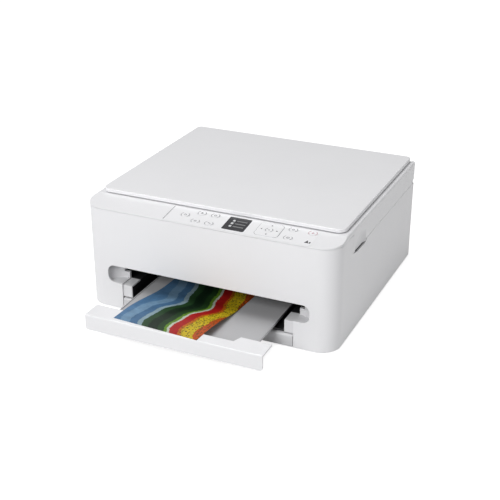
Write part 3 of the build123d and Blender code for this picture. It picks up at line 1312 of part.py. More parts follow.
# Scan bar at its home on the left, riding on the rod
BAR_HALF = 11.0
BAR_MARGIN = 18.0
BAR_HOME = BASE_WALL + BAR_MARGIN + BAR_HALF - BASE_HALF
BAR_SPAN = (BAR_HOME - BAR_HALF, BAR_HOME + BAR_HALF)
BAR_THICKNESS = 10.0
BAR_TOP = GLASS_TOP - GLASS_THICKNESS - 2 * SLIDING
SHOE_HALF = 8.0
with BuildPart() as scan_bar:
    block(
        BAR_SPAN,
        (GLASS_NEAR + BASE_WALL, GLASS_FAR - BASE_WALL),
        (BAR_TOP - BAR_THICKNESS, BAR_TOP),
    )
    block(
        BAR_SPAN,
        (GLASS_MIDDLE - SHOE_HALF, GLASS_MIDDLE + SHOE_HALF),
        (SCAN_ROD_Z - SCAN_POST, BAR_TOP - BAR_THICKNESS),
    )
    bar(SCAN_ROD_RADIUS + RUNNING, BAR_SPAN, GLASS_MIDDLE, SCAN_ROD_Z, Mode.SUBTRACT)
scan_bar.part.label = "scan_bar"

# Lid: shallow shell
LID_HALF = HALF_WIDTH - LID_SIDE_MARGIN
LID_LENGTH = BODY_DEPTH - LID_REAR_MARGIN - LID_FRONT


def lid_plan(height, inset):
    """Plan of the lid at a height, drawn in by inset."""
    with BuildSketch(Plane.XY.offset(height)) as plan:
        with Locations((0, back(LID_FRONT + LID_LENGTH / 2))):
            Rectangle(2 * (LID_HALF - inset), LID_LENGTH - 2 * inset)
        fillet(plan.vertices().group_by(Axis.Y)[0], LID_FRONT_CORNER - inset)
        fillet(plan.vertices().group_by(Axis.Y)[-1], LID_REAR_CORNER - inset)
    return plan.sketch


LID_INSIDE = LID_TOP - LID_SKIN
LEG_HALF = LEG_WIDTH / 2
with BuildPart() as lid:
    extrude(lid_plan(LID_BOTTOM, 0), amount=LID_THICKNESS)
    fillet(lid.faces().sort_by(Axis.Z)[-1].edges(), LID_ROUND)
    extrude(lid_plan(LID_BOTTOM, LID_RIM), amount=LID_INSIDE - LID_BOTTOM, mode=Mode.SUBTRACT)
    for middle in (-LEG_X, LEG_X):
        lug = (middle - LEG_HALF - LID_LUG, middle + LEG_HALF + LID_LUG)
        block(
            lug,
            (LID_AXIS_DEEP - LID_KNUCKLE - LID_LUG_ROOT, LID_AXIS_DEEP + LID_KNUCKLE),
            (LID_AXIS_Z - LID_KNUCKLE, LID_INSIDE),
        )
        block(
            (middle - LEG_HALF - SLIDING, middle + LEG_HALF + SLIDING),
            (LID_AXIS_DEEP - 3 * LID_KNUCKLE, BODY_DEPTH),
            (LID_AXIS_Z - 2 * LID_KNUCKLE, LID_INSIDE),
            Mode.SUBTRACT,
        )
        bar(LID_PIN + RUNNING, lug, LID_AXIS_DEEP, LID_AXIS_Z, Mode.SUBTRACT)
lid.part.label = "lid"

with BuildPart() as lid_pad:
    block(
        (-GLASS_HALF - PAD_MARGIN, GLASS_HALF + PAD_MARGIN),
        (GLASS_NEAR - PAD_MARGIN, GLASS_FAR + PAD_MARGIN),
        (DECK_Z + PAD_GAP, LID_INSIDE),
    )
lid_pad.part.label = "lid_pad"

# Hinge legs: they lift out of the frame, and the lid turns on their pins
with BuildPart() as lid_hinge_legs:
    for middle in (-LEG_X, LEG_X):
        leg = (middle - LEG_HALF, middle + LEG_HALF)
        block(leg, (LEG_NEAR, LEG_FAR), (LEG_BOTTOM, NECK_BOTTOM))
        block(leg, (LID_AXIS_DEEP - LID_KNUCKLE, LID_AXIS_DEEP + LID_KNUCKLE), (NECK_BOTTOM, LID_AXIS_Z))
        bar(LID_KNUCKLE, leg, LID_AXIS_DEEP, LID_AXIS_Z)
        pin = (middle - LEG_HALF - LID_PIN_REACH, middle + LEG_HALF + LID_PIN_REACH)
        bar(LID_PIN, pin, LID_AXIS_DEEP, LID_AXIS_Z)
lid_hinge_legs.part.label = "lid_hinge_legs"

for piece in (
    main_case, base_pan, rubber_feet, guide_block_right, guide_block_left, exit_channel, output_tray,
    tray_lip, printed_sheet, cassette, cassette_front, paper_guide_right, paper_guide_left, engine_chassis,
    guide_rod, platen, feed_roller, exit_roller, pinch_roller, feed_gear, exit_gear, idler_gear,
    motor_pinion, feed_motor, carriage_motor, carriage_pulley, carriage_idler, carriage_belt, carriage,
    ink_cartridge_black, ink_cartridge_colour, purge_unit, pickup_arm, pickup_roller, rear_cover,
    power_supply, main_board, inner_cover, upper_hinge_pins, scanner_frame, control_panel, display_window,
    direction_pad, ok_button, button_board, scanner_base, scan_glass, scan_rod, scan_bar, lid, lid_pad,
    lid_hinge_legs,
):
    export_step(piece.part, f"parts/{piece.part.label}.step")
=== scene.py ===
"""Looks of a white multifunction printer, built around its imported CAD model.

Metres. +Z is up, +X is to the right seen from the front, and the front faces -Y.
Places on the object come from the CAD frame; sizes of small details are given in millimetres.
"""

import json
import math

import bmesh
import bpy
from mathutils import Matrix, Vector


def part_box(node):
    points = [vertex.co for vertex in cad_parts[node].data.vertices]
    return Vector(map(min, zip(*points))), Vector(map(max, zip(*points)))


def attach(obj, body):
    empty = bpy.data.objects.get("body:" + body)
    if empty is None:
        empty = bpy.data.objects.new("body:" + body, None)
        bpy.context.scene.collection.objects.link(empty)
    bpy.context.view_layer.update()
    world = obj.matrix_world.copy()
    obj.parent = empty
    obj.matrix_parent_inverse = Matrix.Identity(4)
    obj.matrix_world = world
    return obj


MM = 0.001
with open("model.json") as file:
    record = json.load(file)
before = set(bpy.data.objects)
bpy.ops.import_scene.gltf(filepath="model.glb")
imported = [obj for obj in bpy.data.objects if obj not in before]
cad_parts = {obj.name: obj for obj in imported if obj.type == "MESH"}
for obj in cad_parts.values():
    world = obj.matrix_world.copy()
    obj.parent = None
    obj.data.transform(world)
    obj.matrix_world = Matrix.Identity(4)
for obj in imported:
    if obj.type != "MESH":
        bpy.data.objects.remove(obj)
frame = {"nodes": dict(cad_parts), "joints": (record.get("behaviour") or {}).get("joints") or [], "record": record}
nodes = frame["nodes"]
joints = {joint["name"]: joint for joint in frame["joints"]}
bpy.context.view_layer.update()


# Materials: every one is procedural, in the coordinates of the part at rest


def linear(red, green, blue):
    """Scene-linear colour of an sRGB one given in 0 to 255."""
    channels = []
    for value in (red / 255, green / 255, blue / 255):
        channels.append(value / 12.92 if value <= 0.04045 else ((value + 0.055) / 1.055) ** 2.4)
    return (*channels, 1.0)


def shade(colour, factor):
    """The same colour, lighter or darker."""
    return (*[min(1.0, channel * factor) for channel in colour[:3]], 1.0)


def node(tree, kind, inputs=None, **settings):
    """New shader node with its settings and its fixed inputs."""
    made = tree.nodes.new(kind)
    for name, value in settings.items():
        setattr(made, name, value)
    for name, value in (inputs or {}).items():
        made.inputs[name].default_value = value
    return made


def math_node(tree, operation, first, second=0.0):
    """Math node whose inputs are sockets or numbers."""
    made = node(tree, "ShaderNodeMath", operation=operation)
    for place, value in enumerate((first, second)):
        if isinstance(value, (int, float)):
            made.inputs[place].default_value = value
        else:
            tree.links.new(value, made.inputs[place])
    return made.outputs[0]


def start_material(name):
    """Material with its node tree, its shader and the coordinates of the part at rest."""
    material = bpy.data.materials.new(name)
    material.use_nodes = True
    tree = material.node_tree
    place = node(tree, "ShaderNodeTexCoord").outputs["Object"]
    return material, tree, tree.nodes["Principled BSDF"], place


def noise(tree, place, size, detail=2.0, rough=0.5):
    """Noise whose features are about this many millimetres across."""
    made = node(
        tree, "ShaderNodeTexNoise", {"Scale": 1 / (size * MM), "Detail": detail, "Roughness": rough}
    )
    tree.links.new(place, made.inputs["Vector"])
    return made.outputs["Fac"]


def colour_sockets(sockets):
    """Those of a mix node's sockets that carry colours."""
    return [socket for socket in sockets if socket.type == "RGBA"]


def blend_colours(tree, factor, first, second):
    """Mix of two fixed colours or sockets by a factor."""
    mix = node(tree, "ShaderNodeMix", data_type="RGBA")
    tree.links.new(factor, mix.inputs["Factor"])
    for target, colour in zip(colour_sockets(mix.inputs), (first, second)):
        if isinstance(colour, tuple):
            target.default_value = colour
        else:
            tree.links.new(colour, target)
    return colour_sockets(mix.outputs)[0]


def multiply_colours(tree, factor, first, second):
    """First socket's colour, darkened by the second one's to a fixed share."""
    mix = node(tree, "ShaderNodeMix", {"Factor": factor}, data_type="RGBA", blend_type="MULTIPLY")
    for target, colour in zip(colour_sockets(mix.inputs), (first, second)):
        tree.links.new(colour, target)
    return colour_sockets(mix.outputs)[0]


def ripples(tree, shader, place, size, strength, depth):
    """Waves in a smooth surface, this many millimetres across and deep."""
    bump = node(tree, "ShaderNodeBump", {"Strength": strength, "Distance": depth * MM})
    tree.links.new(noise(tree, place, size), bump.inputs["Height"])
    tree.links.new(bump.outputs["Normal"], shader.inputs["Normal"])


def surface(tree, shader, place, grain, depth, edge):
    """Fine texture over edges that are softened a little."""
    bevel = node(tree, "ShaderNodeBevel", {"Radius": edge * MM}, samples=6)
    bump = node(tree, "ShaderNodeBump", {"Strength": 1.0, "Distance": depth * MM})
    tree.links.new(noise(tree, place, grain, 3.0), bump.inputs["Height"])
    tree.links.new(bevel.outputs["Normal"], bump.inputs["Normal"])
    tree.links.new(bump.outputs["Normal"], shader.inputs["Normal"])


def ranged(tree, value, low, high):
    """Value from 0 to 1 stretched between two limits."""
    made = node(tree, "ShaderNodeMapRange", {"To Min": low, "To Max": high})
    tree.links.new(value, made.inputs["Value"])
    return made.outputs["Result"]


GLOSS_DRIFT = 0.05
GLOSS_PATCHES = 6


def moulded(name, colour, roughness=0.45, grain=0.5, depth=0.012, edge=0.5, drift=0.02, patch=70.0):
    """Moulded plastic: fine grain, soft edges and a faint drift of its colour and gloss.

    Grain, its depth, the edge radius and the patches of drift are in millimetres.
    """
    material, tree, shader, place = start_material(name)
    base = blend_colours(
        tree, noise(tree, place, patch, 3.0), shade(colour, 1 - drift), shade(colour, 1 + drift)
    )
    tree.links.new(base, shader.inputs["Base Color"])
    cloud = noise(tree, place, patch / GLOSS_PATCHES, 4.0)
    gloss = ranged(tree, cloud, roughness - GLOSS_DRIFT, roughness + GLOSS_DRIFT)
    tree.links.new(gloss, shader.inputs["Roughness"])
    surface(tree, shader, place, grain, depth, edge)
    return material


STREAK_SQUEEZE = 0.04
STREAK_WIDTH = 0.6
STREAK_DARK, STREAK_LIGHT = 0.86, 1.08
STREAK_SHINY, STREAK_DULL = 0.08, 0.1


def brushed(name, colour, roughness=0.32):
    """Sheet steel or a ground bar, brushed along X."""
    material, tree, shader, place = start_material(name)
    stretch = node(tree, "ShaderNodeMapping", {"Scale": (STREAK_SQUEEZE, 1.0, 1.0)})
    tree.links.new(place, stretch.inputs["Vector"])
    streak = noise(tree, stretch.outputs["Vector"], STREAK_WIDTH, 4.0)
    base = blend_colours(tree, streak, shade(colour, STREAK_DARK), shade(colour, STREAK_LIGHT))
    tree.links.new(base, shader.inputs["Base Color"])
    gloss = ranged(tree, streak, roughness - STREAK_SHINY, roughness + STREAK_DULL)
    tree.links.new(gloss, shader.inputs["Roughness"])
    shader.inputs["Metallic"].default_value = 1.0
    surface(tree, shader, stretch.outputs["Vector"], grain=0.5, depth=0.01, edge=0.3)
    return material


def clear_glass(name):
    """Float glass with the faintest ripple."""
    material, tree, shader, place = start_material(name)
    shader.inputs["Base Color"].default_value = linear(232, 243, 238)
    shader.inputs["Roughness"].default_value = 0.02
    shader.inputs["IOR"].default_value = 1.5
    shader.inputs["Transmission Weight"].default_value = 1.0
    ripples(tree, shader, place, size=40.0, strength=0.2, depth=0.01)
    return material


TRACE_CELL = 6.0
TRACE_EDGE = 0.62


def circuit_board(name, top):
    """Green solder mask with lighter traces; what lies above this height is dark."""
    material, tree, shader, place = start_material(name)
    parts = node(tree, "ShaderNodeSeparateXYZ")
    tree.links.new(place, parts.inputs["Vector"])
    cells = node(tree, "ShaderNodeTexVoronoi", {"Scale": 1 / (TRACE_CELL * MM)}, distance="MANHATTAN")
    tree.links.new(place, cells.inputs["Vector"])
    traces = math_node(tree, "GREATER_THAN", cells.outputs["Distance"], TRACE_EDGE)
    mask = blend_colours(tree, traces, linear(22, 78, 44), linear(58, 128, 74))
    above = math_node(tree, "GREATER_THAN", parts.outputs["Z"], top)
    base = blend_colours(tree, above, mask, linear(34, 34, 37))
    tree.links.new(base, shader.inputs["Base Color"])
    shader.inputs["Roughness"].default_value = 0.35
    surface(tree, shader, place, grain=0.8, depth=0.02, edge=0.15)
    return material


# The print's design: sizes in millimetres, and where each ribbon starts as a share of the sheet's width
SHEET_WIDTH = 127.0
SWAY_LENGTH, SWAY_REACH = 21, 7.0
RIPPLE_LENGTH, RIPPLE_REACH = 8.5, 2.2
EDGE_PATCH, EDGE_REACH = 5.0, 5.0
RIBBON_SLANT = 0.06
RIBBON_COLOURS = (
    (0.0, (92, 136, 178)),
    (0.13, (126, 164, 196)),
    (0.24, (82, 124, 164)),
    (0.33, (152, 178, 190)),
    (0.38, (44, 78, 44)),
    (0.46, (22, 44, 26)),
    (0.57, (38, 70, 34)),
    (0.64, (108, 154, 44)),
    (0.675, (210, 218, 202)),
    (0.70, (190, 32, 30)),
    (0.80, (214, 118, 24)),
    (0.835, (226, 198, 34)),
    (0.97, (206, 88, 28)),
)
SPECKLED_FROM = 0.80
SPECK_PITCH, SPECK_SHARE = 2.8, 0.36
SPECK_COLOUR = linear(74, 62, 20)
TONE_PATCH, TONE_SHARE = 9.0, 0.85


def wave(tree, along, length, reach):
    """Sine wave of this reach that turns by one radian in this length."""
    angle = math_node(tree, "MULTIPLY", along, 1 / length)
    return math_node(tree, "MULTIPLY", math_node(tree, "SINE", angle), reach)


def print_material(name):
    """Print of a made-up design: wavy ribbons in blue, green, red and yellow, some speckled."""
    material, tree, shader, place = start_material(name)
    local = node(tree, "ShaderNodeMapping", vector_type="TEXTURE")
    local.inputs["Location"].default_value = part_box("printed_sheet")[0]
    local.inputs["Scale"].default_value = (MM, MM, MM)
    tree.links.new(place, local.inputs["Vector"])
    parts = node(tree, "ShaderNodeSeparateXYZ")
    tree.links.new(local.outputs["Vector"], parts.inputs["Vector"])
    ribbon, along = parts.outputs["X"], parts.outputs["Y"]
    rough_edge = noise(tree, place, EDGE_PATCH, 4.0, 0.6)
    for shift in (
        wave(tree, along, SWAY_LENGTH, SWAY_REACH),
        wave(tree, along, RIPPLE_LENGTH, RIPPLE_REACH),
        math_node(tree, "MULTIPLY", rough_edge, EDGE_REACH),
    ):
        ribbon = math_node(tree, "ADD", ribbon, shift)
    ribbon = math_node(tree, "SUBTRACT", ribbon, math_node(tree, "MULTIPLY", along, RIBBON_SLANT))
    ribbon = math_node(tree, "DIVIDE", ribbon, SHEET_WIDTH)
    ramp = node(tree, "ShaderNodeValToRGB")
    stops = ramp.color_ramp.elements
    ramp.color_ramp.interpolation = "CONSTANT"
    while len(stops) < len(RIBBON_COLOURS):
        stops.new(RIBBON_COLOURS[len(stops)][0])
    for stop, (start, colour) in zip(stops, RIBBON_COLOURS):
        stop.position = start
        stop.color = linear(*colour)
    tree.links.new(ribbon, ramp.inputs["Fac"])
    cloud = noise(tree, place, TONE_PATCH, 5.0, 0.65)
    tone = blend_colours(tree, cloud, linear(150, 150, 150), linear(255, 255, 255))
    toned = multiply_colours(tree, TONE_SHARE, ramp.outputs["Color"], tone)
    dots = node(tree, "ShaderNodeTexVoronoi", {"Scale": 1 / SPECK_PITCH, "Randomness": 0.9})
    tree.links.new(local.outputs["Vector"], dots.inputs["Vector"])
    speck = math_node(tree, "LESS_THAN", dots.outputs["Distance"], SPECK_SHARE)
    warm_side = math_node(tree, "GREATER_THAN", ribbon, SPECKLED_FROM)
    speckled = math_node(tree, "MULTIPLY", speck, warm_side)
    tree.links.new(blend_colours(tree, speckled, toned, SPECK_COLOUR), shader.inputs["Base Color"])
    shader.inputs["Roughness"].default_value = 0.42
    shader.inputs["Specular IOR Level"].default_value = 0.3
    ripples(tree, shader, place, size=30.0, strength=0.15, depth=0.05)
    return material


def luminous(name, colour, strength):
    """Faintly lit pixels of the display."""
    material, tree, shader, place = start_material(name)
    base = blend_colours(tree, noise(tree, place, 2.0), shade(colour, 0.9), shade(colour, 1.1))
    tree.links.new(base, shader.inputs["Base Color"])
    tree.links.new(base, shader.inputs["Emission Color"])
    shader.inputs["Emission Strength"].default_value = strength
    shader.inputs["Roughness"].default_value = 0.3
    return material


# The main board's upper face above its posts' feet, and how much higher a component starts
BOARD_RISE = 17.9
COMPONENT_RISE = 0.3
board_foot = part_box("main_board")[0].z
SHELL = {"depth": 0.014, "edge": 0.6}
INK = {"roughness": 0.5, "grain": 0.6, "depth": 0.004, "edge": 0.05, "patch": 5.0}
FINISHES = {
    "white_shell": moulded("white_shell", linear(233, 233, 235), 0.42, 0.45, **SHELL),
    "control_film": moulded(
        "control_film", linear(237, 237, 239), 0.34, grain=0.8, depth=0.006, edge=0.15, drift=0.01
    ),
    "display": moulded(
        "display", linear(62, 62, 65), 0.2, grain=3.0, depth=0.002, edge=0.2, drift=0.06, patch=20.0
    ),
    "grey_tray": moulded(
        "grey_tray", linear(184, 184, 186), 0.5, depth=0.02, edge=0.3, drift=0.03, patch=40.0
    ),
    "black_plastic": moulded(
        "black_plastic", linear(30, 30, 32), 0.5, grain=0.6, depth=0.02, edge=0.3, drift=0.1
    ),
    "colour_cartridge": moulded(
        "colour_cartridge", linear(84, 86, 94), 0.4, depth=0.02, edge=0.4, drift=0.05
    ),
    "grey_guides": moulded("grey_guides", linear(128, 128, 131), depth=0.02, edge=0.3, drift=0.04),
    "gear_plastic": moulded(
        "gear_plastic", linear(222, 219, 208), 0.38, grain=0.7, depth=0.01, edge=0.15, drift=0.03
    ),
    "rubber": moulded(
        "rubber", linear(38, 38, 38), 0.75, grain=0.35, depth=0.04, edge=0.3, drift=0.1, patch=12.0
    ),
    "feed_coating": moulded(
        "feed_coating", linear(112, 112, 115), 0.65, grain=0.25, depth=0.05, edge=0.2, drift=0.06, patch=12.0
    ),
    "steel": brushed("steel", linear(196, 198, 200)),
    "board": circuit_board("board", board_foot + (BOARD_RISE + COMPONENT_RISE) * MM),
    "glass": clear_glass("glass"),
    "pad_white": moulded(
        "pad_white", linear(238, 238, 238), 0.6, grain=1.2, depth=0.03, edge=0.8, drift=0.01
    ),
    "photo_paper": print_material("photo_paper"),
}
LID_WHITE = moulded("lid_white", linear(236, 236, 238), 0.55, 0.25, **SHELL)
# Darker copy of the white shell on the guide blocks: painted shade of the slot they stand in
GUIDE_SHADED_WHITE = moulded("guide_painted_shade", linear(224, 224, 226), 0.45, 0.45, **SHELL)
# Darker copy of the white shell on the cassette front: painted shade of the tray above it
CASSETTE_SHADED_WHITE = moulded("cassette_painted_shade", linear(206, 206, 208), 0.5, 0.45, **SHELL)
MARK = moulded("mark_ink", linear(104, 105, 110), drift=0.03, **INK)
RED_MARK = moulded("red_mark_ink", linear(178, 96, 112), drift=0.03, **INK)
FAINT_MARK = moulded("faint_mark_ink", linear(176, 177, 180), drift=0.02, **INK)
DARK_MARK = moulded("dark_mark_ink", linear(88, 88, 92), drift=0.03, **INK)
SCREEN_LIGHT = luminous("screen_light", linear(196, 198, 200), 0.15)
SCREEN_GREY = luminous("screen_grey", linear(120, 121, 122), 0.08)
STEEL_DARK = brushed("dark_steel", linear(150, 152, 155), 0.38)
LABEL = moulded(
    "label_film", linear(214, 215, 216), 0.35, grain=1.0, depth=0.003, edge=0.05, drift=0.01, patch=15.0
)
CONNECTOR = moulded("connector_white", linear(226, 224, 214), 0.5, depth=0.01, edge=0.2, patch=8.0)
SLEEVE = moulded(
    "capacitor_sleeve", linear(38, 44, 66), 0.35, grain=0.6, depth=0.005, edge=0.2, drift=0.08, patch=6.0
)
# Near-black: painted shade of the underside vents, and the printed patch on the black cartridge's label
DARK_PRINT_AND_VENT_SHADE = moulded(
    "dark_print_and_vent_shade", linear(20, 20, 22), 0.6, depth=0.02, edge=0.1, drift=0.1, patch=10.0
)


def dress(piece, material):
    """Gives every slot of a piece this material."""
    if not piece.material_slots:
        piece.data.materials.append(material)
    for slot in piece.material_slots:
        slot.material = material


for subpart in frame["record"]["subparts"]:
    dress(nodes[subpart["node"]], FINISHES[subpart["material_slot"]])
# The lid gets a rougher white; the guide blocks and cassette front get darker copies of the white that paint shade
for name, material in (
    ("lid", LID_WHITE),
    ("guide_block_left", GUIDE_SHADED_WHITE),
    ("guide_block_right", GUIDE_SHADED_WHITE),
    ("cassette_front", CASSETTE_SHADED_WHITE),
):
    dress(nodes[name], material)


# Building pieces: places and sizes are in millimetres


def extent(name):
    """Low and high corner of a node in millimetres."""
    low_corner, high_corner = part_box(name)
    return low_corner / MM, high_corner / MM


def finish_piece(name, body, shape, material):
    """Object from a built shape, dressed and tied to its body."""
    bmesh.ops.recalc_face_normals(shape, faces=shape.faces)
    mesh = bpy.data.meshes.new(name)
    shape.to_mesh(mesh)
    shape.free()
    piece = bpy.data.objects.new(name, mesh)
    bpy.context.scene.collection.objects.link(piece)
    dress(piece, material)
    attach(piece, body)


def plates(name, body, outlines, material, place, lift, thickness):
    """One piece of thin raised plates with these outlines, such as printed marks."""
    shape = bmesh.new()
    for outline in outlines:
        low = [shape.verts.new(place(x, up, lift)) for x, up in outline]
        high = [shape.verts.new(place(x, up, lift + thickness)) for x, up in outline]
        shape.faces.new(high)
        shape.faces.new(low[::-1])
        for i in range(len(outline)):
            j = (i + 1) % len(outline)
            shape.faces.new((low[i], low[j], high[j], high[i]))
    finish_piece(name, body, shape, material)


BLOCK_FACES = ((0, 2, 3, 1), (4, 5, 7, 6), (0, 1, 5, 4), (2, 6, 7, 3), (0, 4, 6, 2), (1, 3, 7, 5))


def solids(name, body, shapes, material, bevel):
    """One piece of several blocks with softened edges; each is its low and its high corner."""
    shape = bmesh.new()
    for ends in shapes:
        corners = [
            shape.verts.new([ends[pick >> axis & 1][axis] * MM for axis in range(3)]) for pick in range(8)
        ]
        for face in BLOCK_FACES:
            shape.faces.new([corners[i] for i in face])
    if bevel:
        edges = shape.edges[:]
        bmesh.ops.bevel(shape, geom=edges, offset=bevel * MM, segments=2, affect="EDGES", profile=0.5)
    finish_piece(name, body, shape, material)


LATHE_SIDES = 24


def lathe(name, body, places, profile, axis, material):
    """One piece of equal turned forms; the profile is pairs of radius and distance along the axis."""
    shape = bmesh.new()
    along = Vector(axis)
    across = Vector((0, 0, 1)) if abs(along.z) < 0.5 else Vector((1, 0, 0))
    other = along.cross(across)
    for place in places:
        rings = []
        for radius, reach in profile:
            middle = Vector(place) + along * reach
            rim = []
            for i in range(LATHE_SIDES):
                angle = 2 * math.pi * i / LATHE_SIDES
                point = middle + across * radius * math.cos(angle) + other * radius * math.sin(angle)
                rim.append(shape.verts.new(point * MM))
            rings.append(rim)
        for low_ring, high_ring in zip(rings, rings[1:]):
            for i in range(LATHE_SIDES):
                j = (i + 1) % LATHE_SIDES
                shape.faces.new((low_ring[i], low_ring[j], high_ring[j], high_ring[i]))
        shape.faces.new(rings[0][::-1])
        shape.faces.new(rings[-1])
    finish_piece(name, body, shape, material)


def turned(points, x, up, angle=0.0):
    """Points turned by an angle in degrees and moved to a place."""
    c, s = math.cos(math.radians(angle)), math.sin(math.radians(angle))
    return [(x + c * px - s * py, up + s * px + c * py) for px, py in points]


def box_outline(x, up, width, height, angle=0.0):
    """Rectangle about its middle."""
    half, rise = width / 2, height / 2
    return turned([(-half, -rise), (half, -rise), (half, rise), (-half, rise)], x, up, angle)


def rounded_outline(x, up, width, height, corner, steps=5):
    """Rectangle about its middle with round corners."""
    points = []
    for sx, sy, start in ((1, 1, 0), (-1, 1, 90), (-1, -1, 180), (1, -1, 270)):
        for step in range(steps + 1):
            angle = math.radians(start + 90 * step / steps)
            points.append((
                x + sx * (width / 2 - corner) + corner * math.cos(angle),
                up + sy * (height / 2 - corner) + corner * math.sin(angle),
            ))
    return points


def arc_band(x, up, half_width, half_height, line, start, end, steps=14):
    """Curved stroke along an ellipse between two angles in degrees."""
    outer, inner = [], []
    for step in range(steps + 1):
        angle = math.radians(start + (end - start) * step / steps)
        c, s = math.cos(angle), math.sin(angle)
        outer.append((x + (half_width + line / 2) * c, up + (half_height + line / 2) * s))
        inner.append((x + (half_width - line / 2) * c, up + (half_height - line / 2) * s))
    return outer + inner[::-1]


def ring(x, up, radius, line):
    """Circle drawn as two half strokes."""
    return [arc_band(x, up, radius, radius, line, start, start + 180) for start in (0, 180)]


def stroke(start, end, line):
    """Straight stroke between two points."""
    run = math.hypot(end[0] - start[0], end[1] - start[1])
    angle = math.degrees(math.atan2(end[1] - start[1], end[0] - start[0]))
    return box_outline((start[0] + end[0]) / 2, (start[1] + end[1]) / 2, run, line, angle)


# Control strip: places on it are X and the distance up the slope

FILM_EDGE_UP = 2.5
FILM_THICKNESS = 0.5
strip_normal = -Vector(joints["ok_button_press"]["axis"])
strip_up = Vector((0, strip_normal.z, -strip_normal.y))
film_low, film_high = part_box("control_panel")
film_rise = (film_high.y - film_low.y) * strip_up.z / strip_up.y
strip_start = Vector((0, film_low.y, film_high.z - film_rise + FILM_THICKNESS * MM * strip_up.z**2))
strip_origin = strip_start - strip_up * FILM_EDGE_UP * MM


def on_strip(x, up, lift):
    """Point of the control strip: X, distance up the slope and height over it."""
    return Vector((x * MM, 0, 0)) + strip_origin + strip_up * up * MM + strip_normal * lift * MM


def middle_of(name):
    """X and distance up the slope of a button's middle."""
    low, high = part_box(name)
    middle = (low + high) / 2
    return middle.x / MM, (middle - strip_origin).dot(strip_up) / MM


# Printed marks: their thickness, the keys' height over the strip, and how far marks sink in or lie over
MARK_THICKNESS = 0.06
KEY_LIFT = 0.4
SINK = 0.02
EDGE_LIFT = 0.02
LINE = 0.6
FINE_LINE = 0.5


def strip_marks(name, body, outlines, ink, lift):
    """Printed marks on the strip or on a key of it."""
    plates(name, body, outlines, ink, on_strip, lift, MARK_THICKNESS)


def brackets(x, up, spread=52.0, reach=(5.9, 4.6)):
    """Two curved brackets left and right of a key's sign."""
    return [
        arc_band(x, up, *reach, LINE, 180 - spread, 180 + spread),
        arc_band(x, up, *reach, LINE, -spread, spread),
    ]


def house_sign(x, up):
    """Sign of a house."""
    roof = turned([(-2.3, 0.1), (0, 2.1), (2.3, 0.1)], x, up)
    return [roof] + [box_outline(x + side * 1.1, up - 0.9, 0.9, 1.8) for side in (-1, 1)]


def lines_sign(x, up):
    """Sign of three lines."""
    return [box_outline(x, up + step, 3.6, LINE) for step in (-1.3, 0.0, 1.3)]


def gear_sign(x, up):
    """Sign of a cogwheel."""
    teeth = []
    for degrees in range(0, 360, 60):
        c, s = math.cos(math.radians(degrees)), math.sin(math.radians(degrees))
        teeth.append(stroke((x + 1.5 * c, up + 1.5 * s), (x + 2.2 * c, up + 2.2 * s), 0.7))
    return teeth + ring(x, up, 1.3, 0.5)


def return_sign(x, up):
    """Sign of an arrow that turns back."""
    return [
        arc_band(x + 0.3, up, 1.6, 1.3, LINE, -90, 90),
        stroke((x + 0.3, up + 1.3), (x - 1.6, up + 1.3), LINE),
        turned([(-0.9, 0), (0.3, 0.9), (0.3, -0.9)], x - 1.6, up + 1.3),
    ]


def power_sign(x, up):
    """Sign of a switch: a ring with a gap and a bar."""
    return [arc_band(x, up, 1.6, 1.6, LINE, 120, 420), stroke((x, up + 0.3), (x, up + 2.1), LINE)]


def start_sign(x, up):
    """Sign of a diamond."""
    corners = [(x - 1.6, up), (x, up + 1.7), (x + 1.6, up), (x, up - 1.7)]
    return [stroke(corners[i], corners[(i + 1) % 4], LINE) for i in range(4)]


def stop_sign(x, up):
    """Sign of a triangle in a ring."""
    return ring(x, up, 1.9, LINE) + [turned([(-0.8, -0.6), (0.8, -0.6), (0, 0.9)], x, up)]


for name, sign, ink in (
    ("function_button_1", power_sign, MARK),
    ("function_button_2", house_sign, MARK),
    ("function_button_3", gear_sign, MARK),
    ("function_button_4", lines_sign, MARK),
    ("function_button_5", return_sign, MARK),
    ("start_black_button", start_sign, MARK),
    ("start_colour_button", start_sign, RED_MARK),
    ("stop_button", stop_sign, MARK),
):
    x, up = middle_of(name)
    strip_marks(f"{name}_sign", f"{name}_key", sign(x, up) + brackets(x, up), ink, KEY_LIFT - SINK)

# Direction pad: four arrows, the mark of its middle button and a line around it
ARROW = [(-1.5, -0.9), (1.5, -0.9), (0.0, 1.4)]
ARROW_OUT = 11.0
pad_x, pad_up = middle_of("direction_pad")
arrows = []
for degrees in (0, 90, 180, 270):
    c, s = math.cos(math.radians(degrees)), math.sin(math.radians(degrees))
    arrows.append(turned(ARROW, pad_x - ARROW_OUT * s, pad_up + ARROW_OUT * c, degrees))
strip_marks("direction_arrows", "direction_pad_key", arrows, DARK_MARK, KEY_LIFT - SINK)
ok_x, ok_up = middle_of("ok_button")
ok_marks = brackets(ok_x, ok_up, 55.0, (4.9, 4.3)) + [box_outline(ok_x, ok_up, 2.6, 1.0)]
strip_marks("ok_marks", "ok_button_key", ok_marks, MARK, KEY_LIFT - SINK)

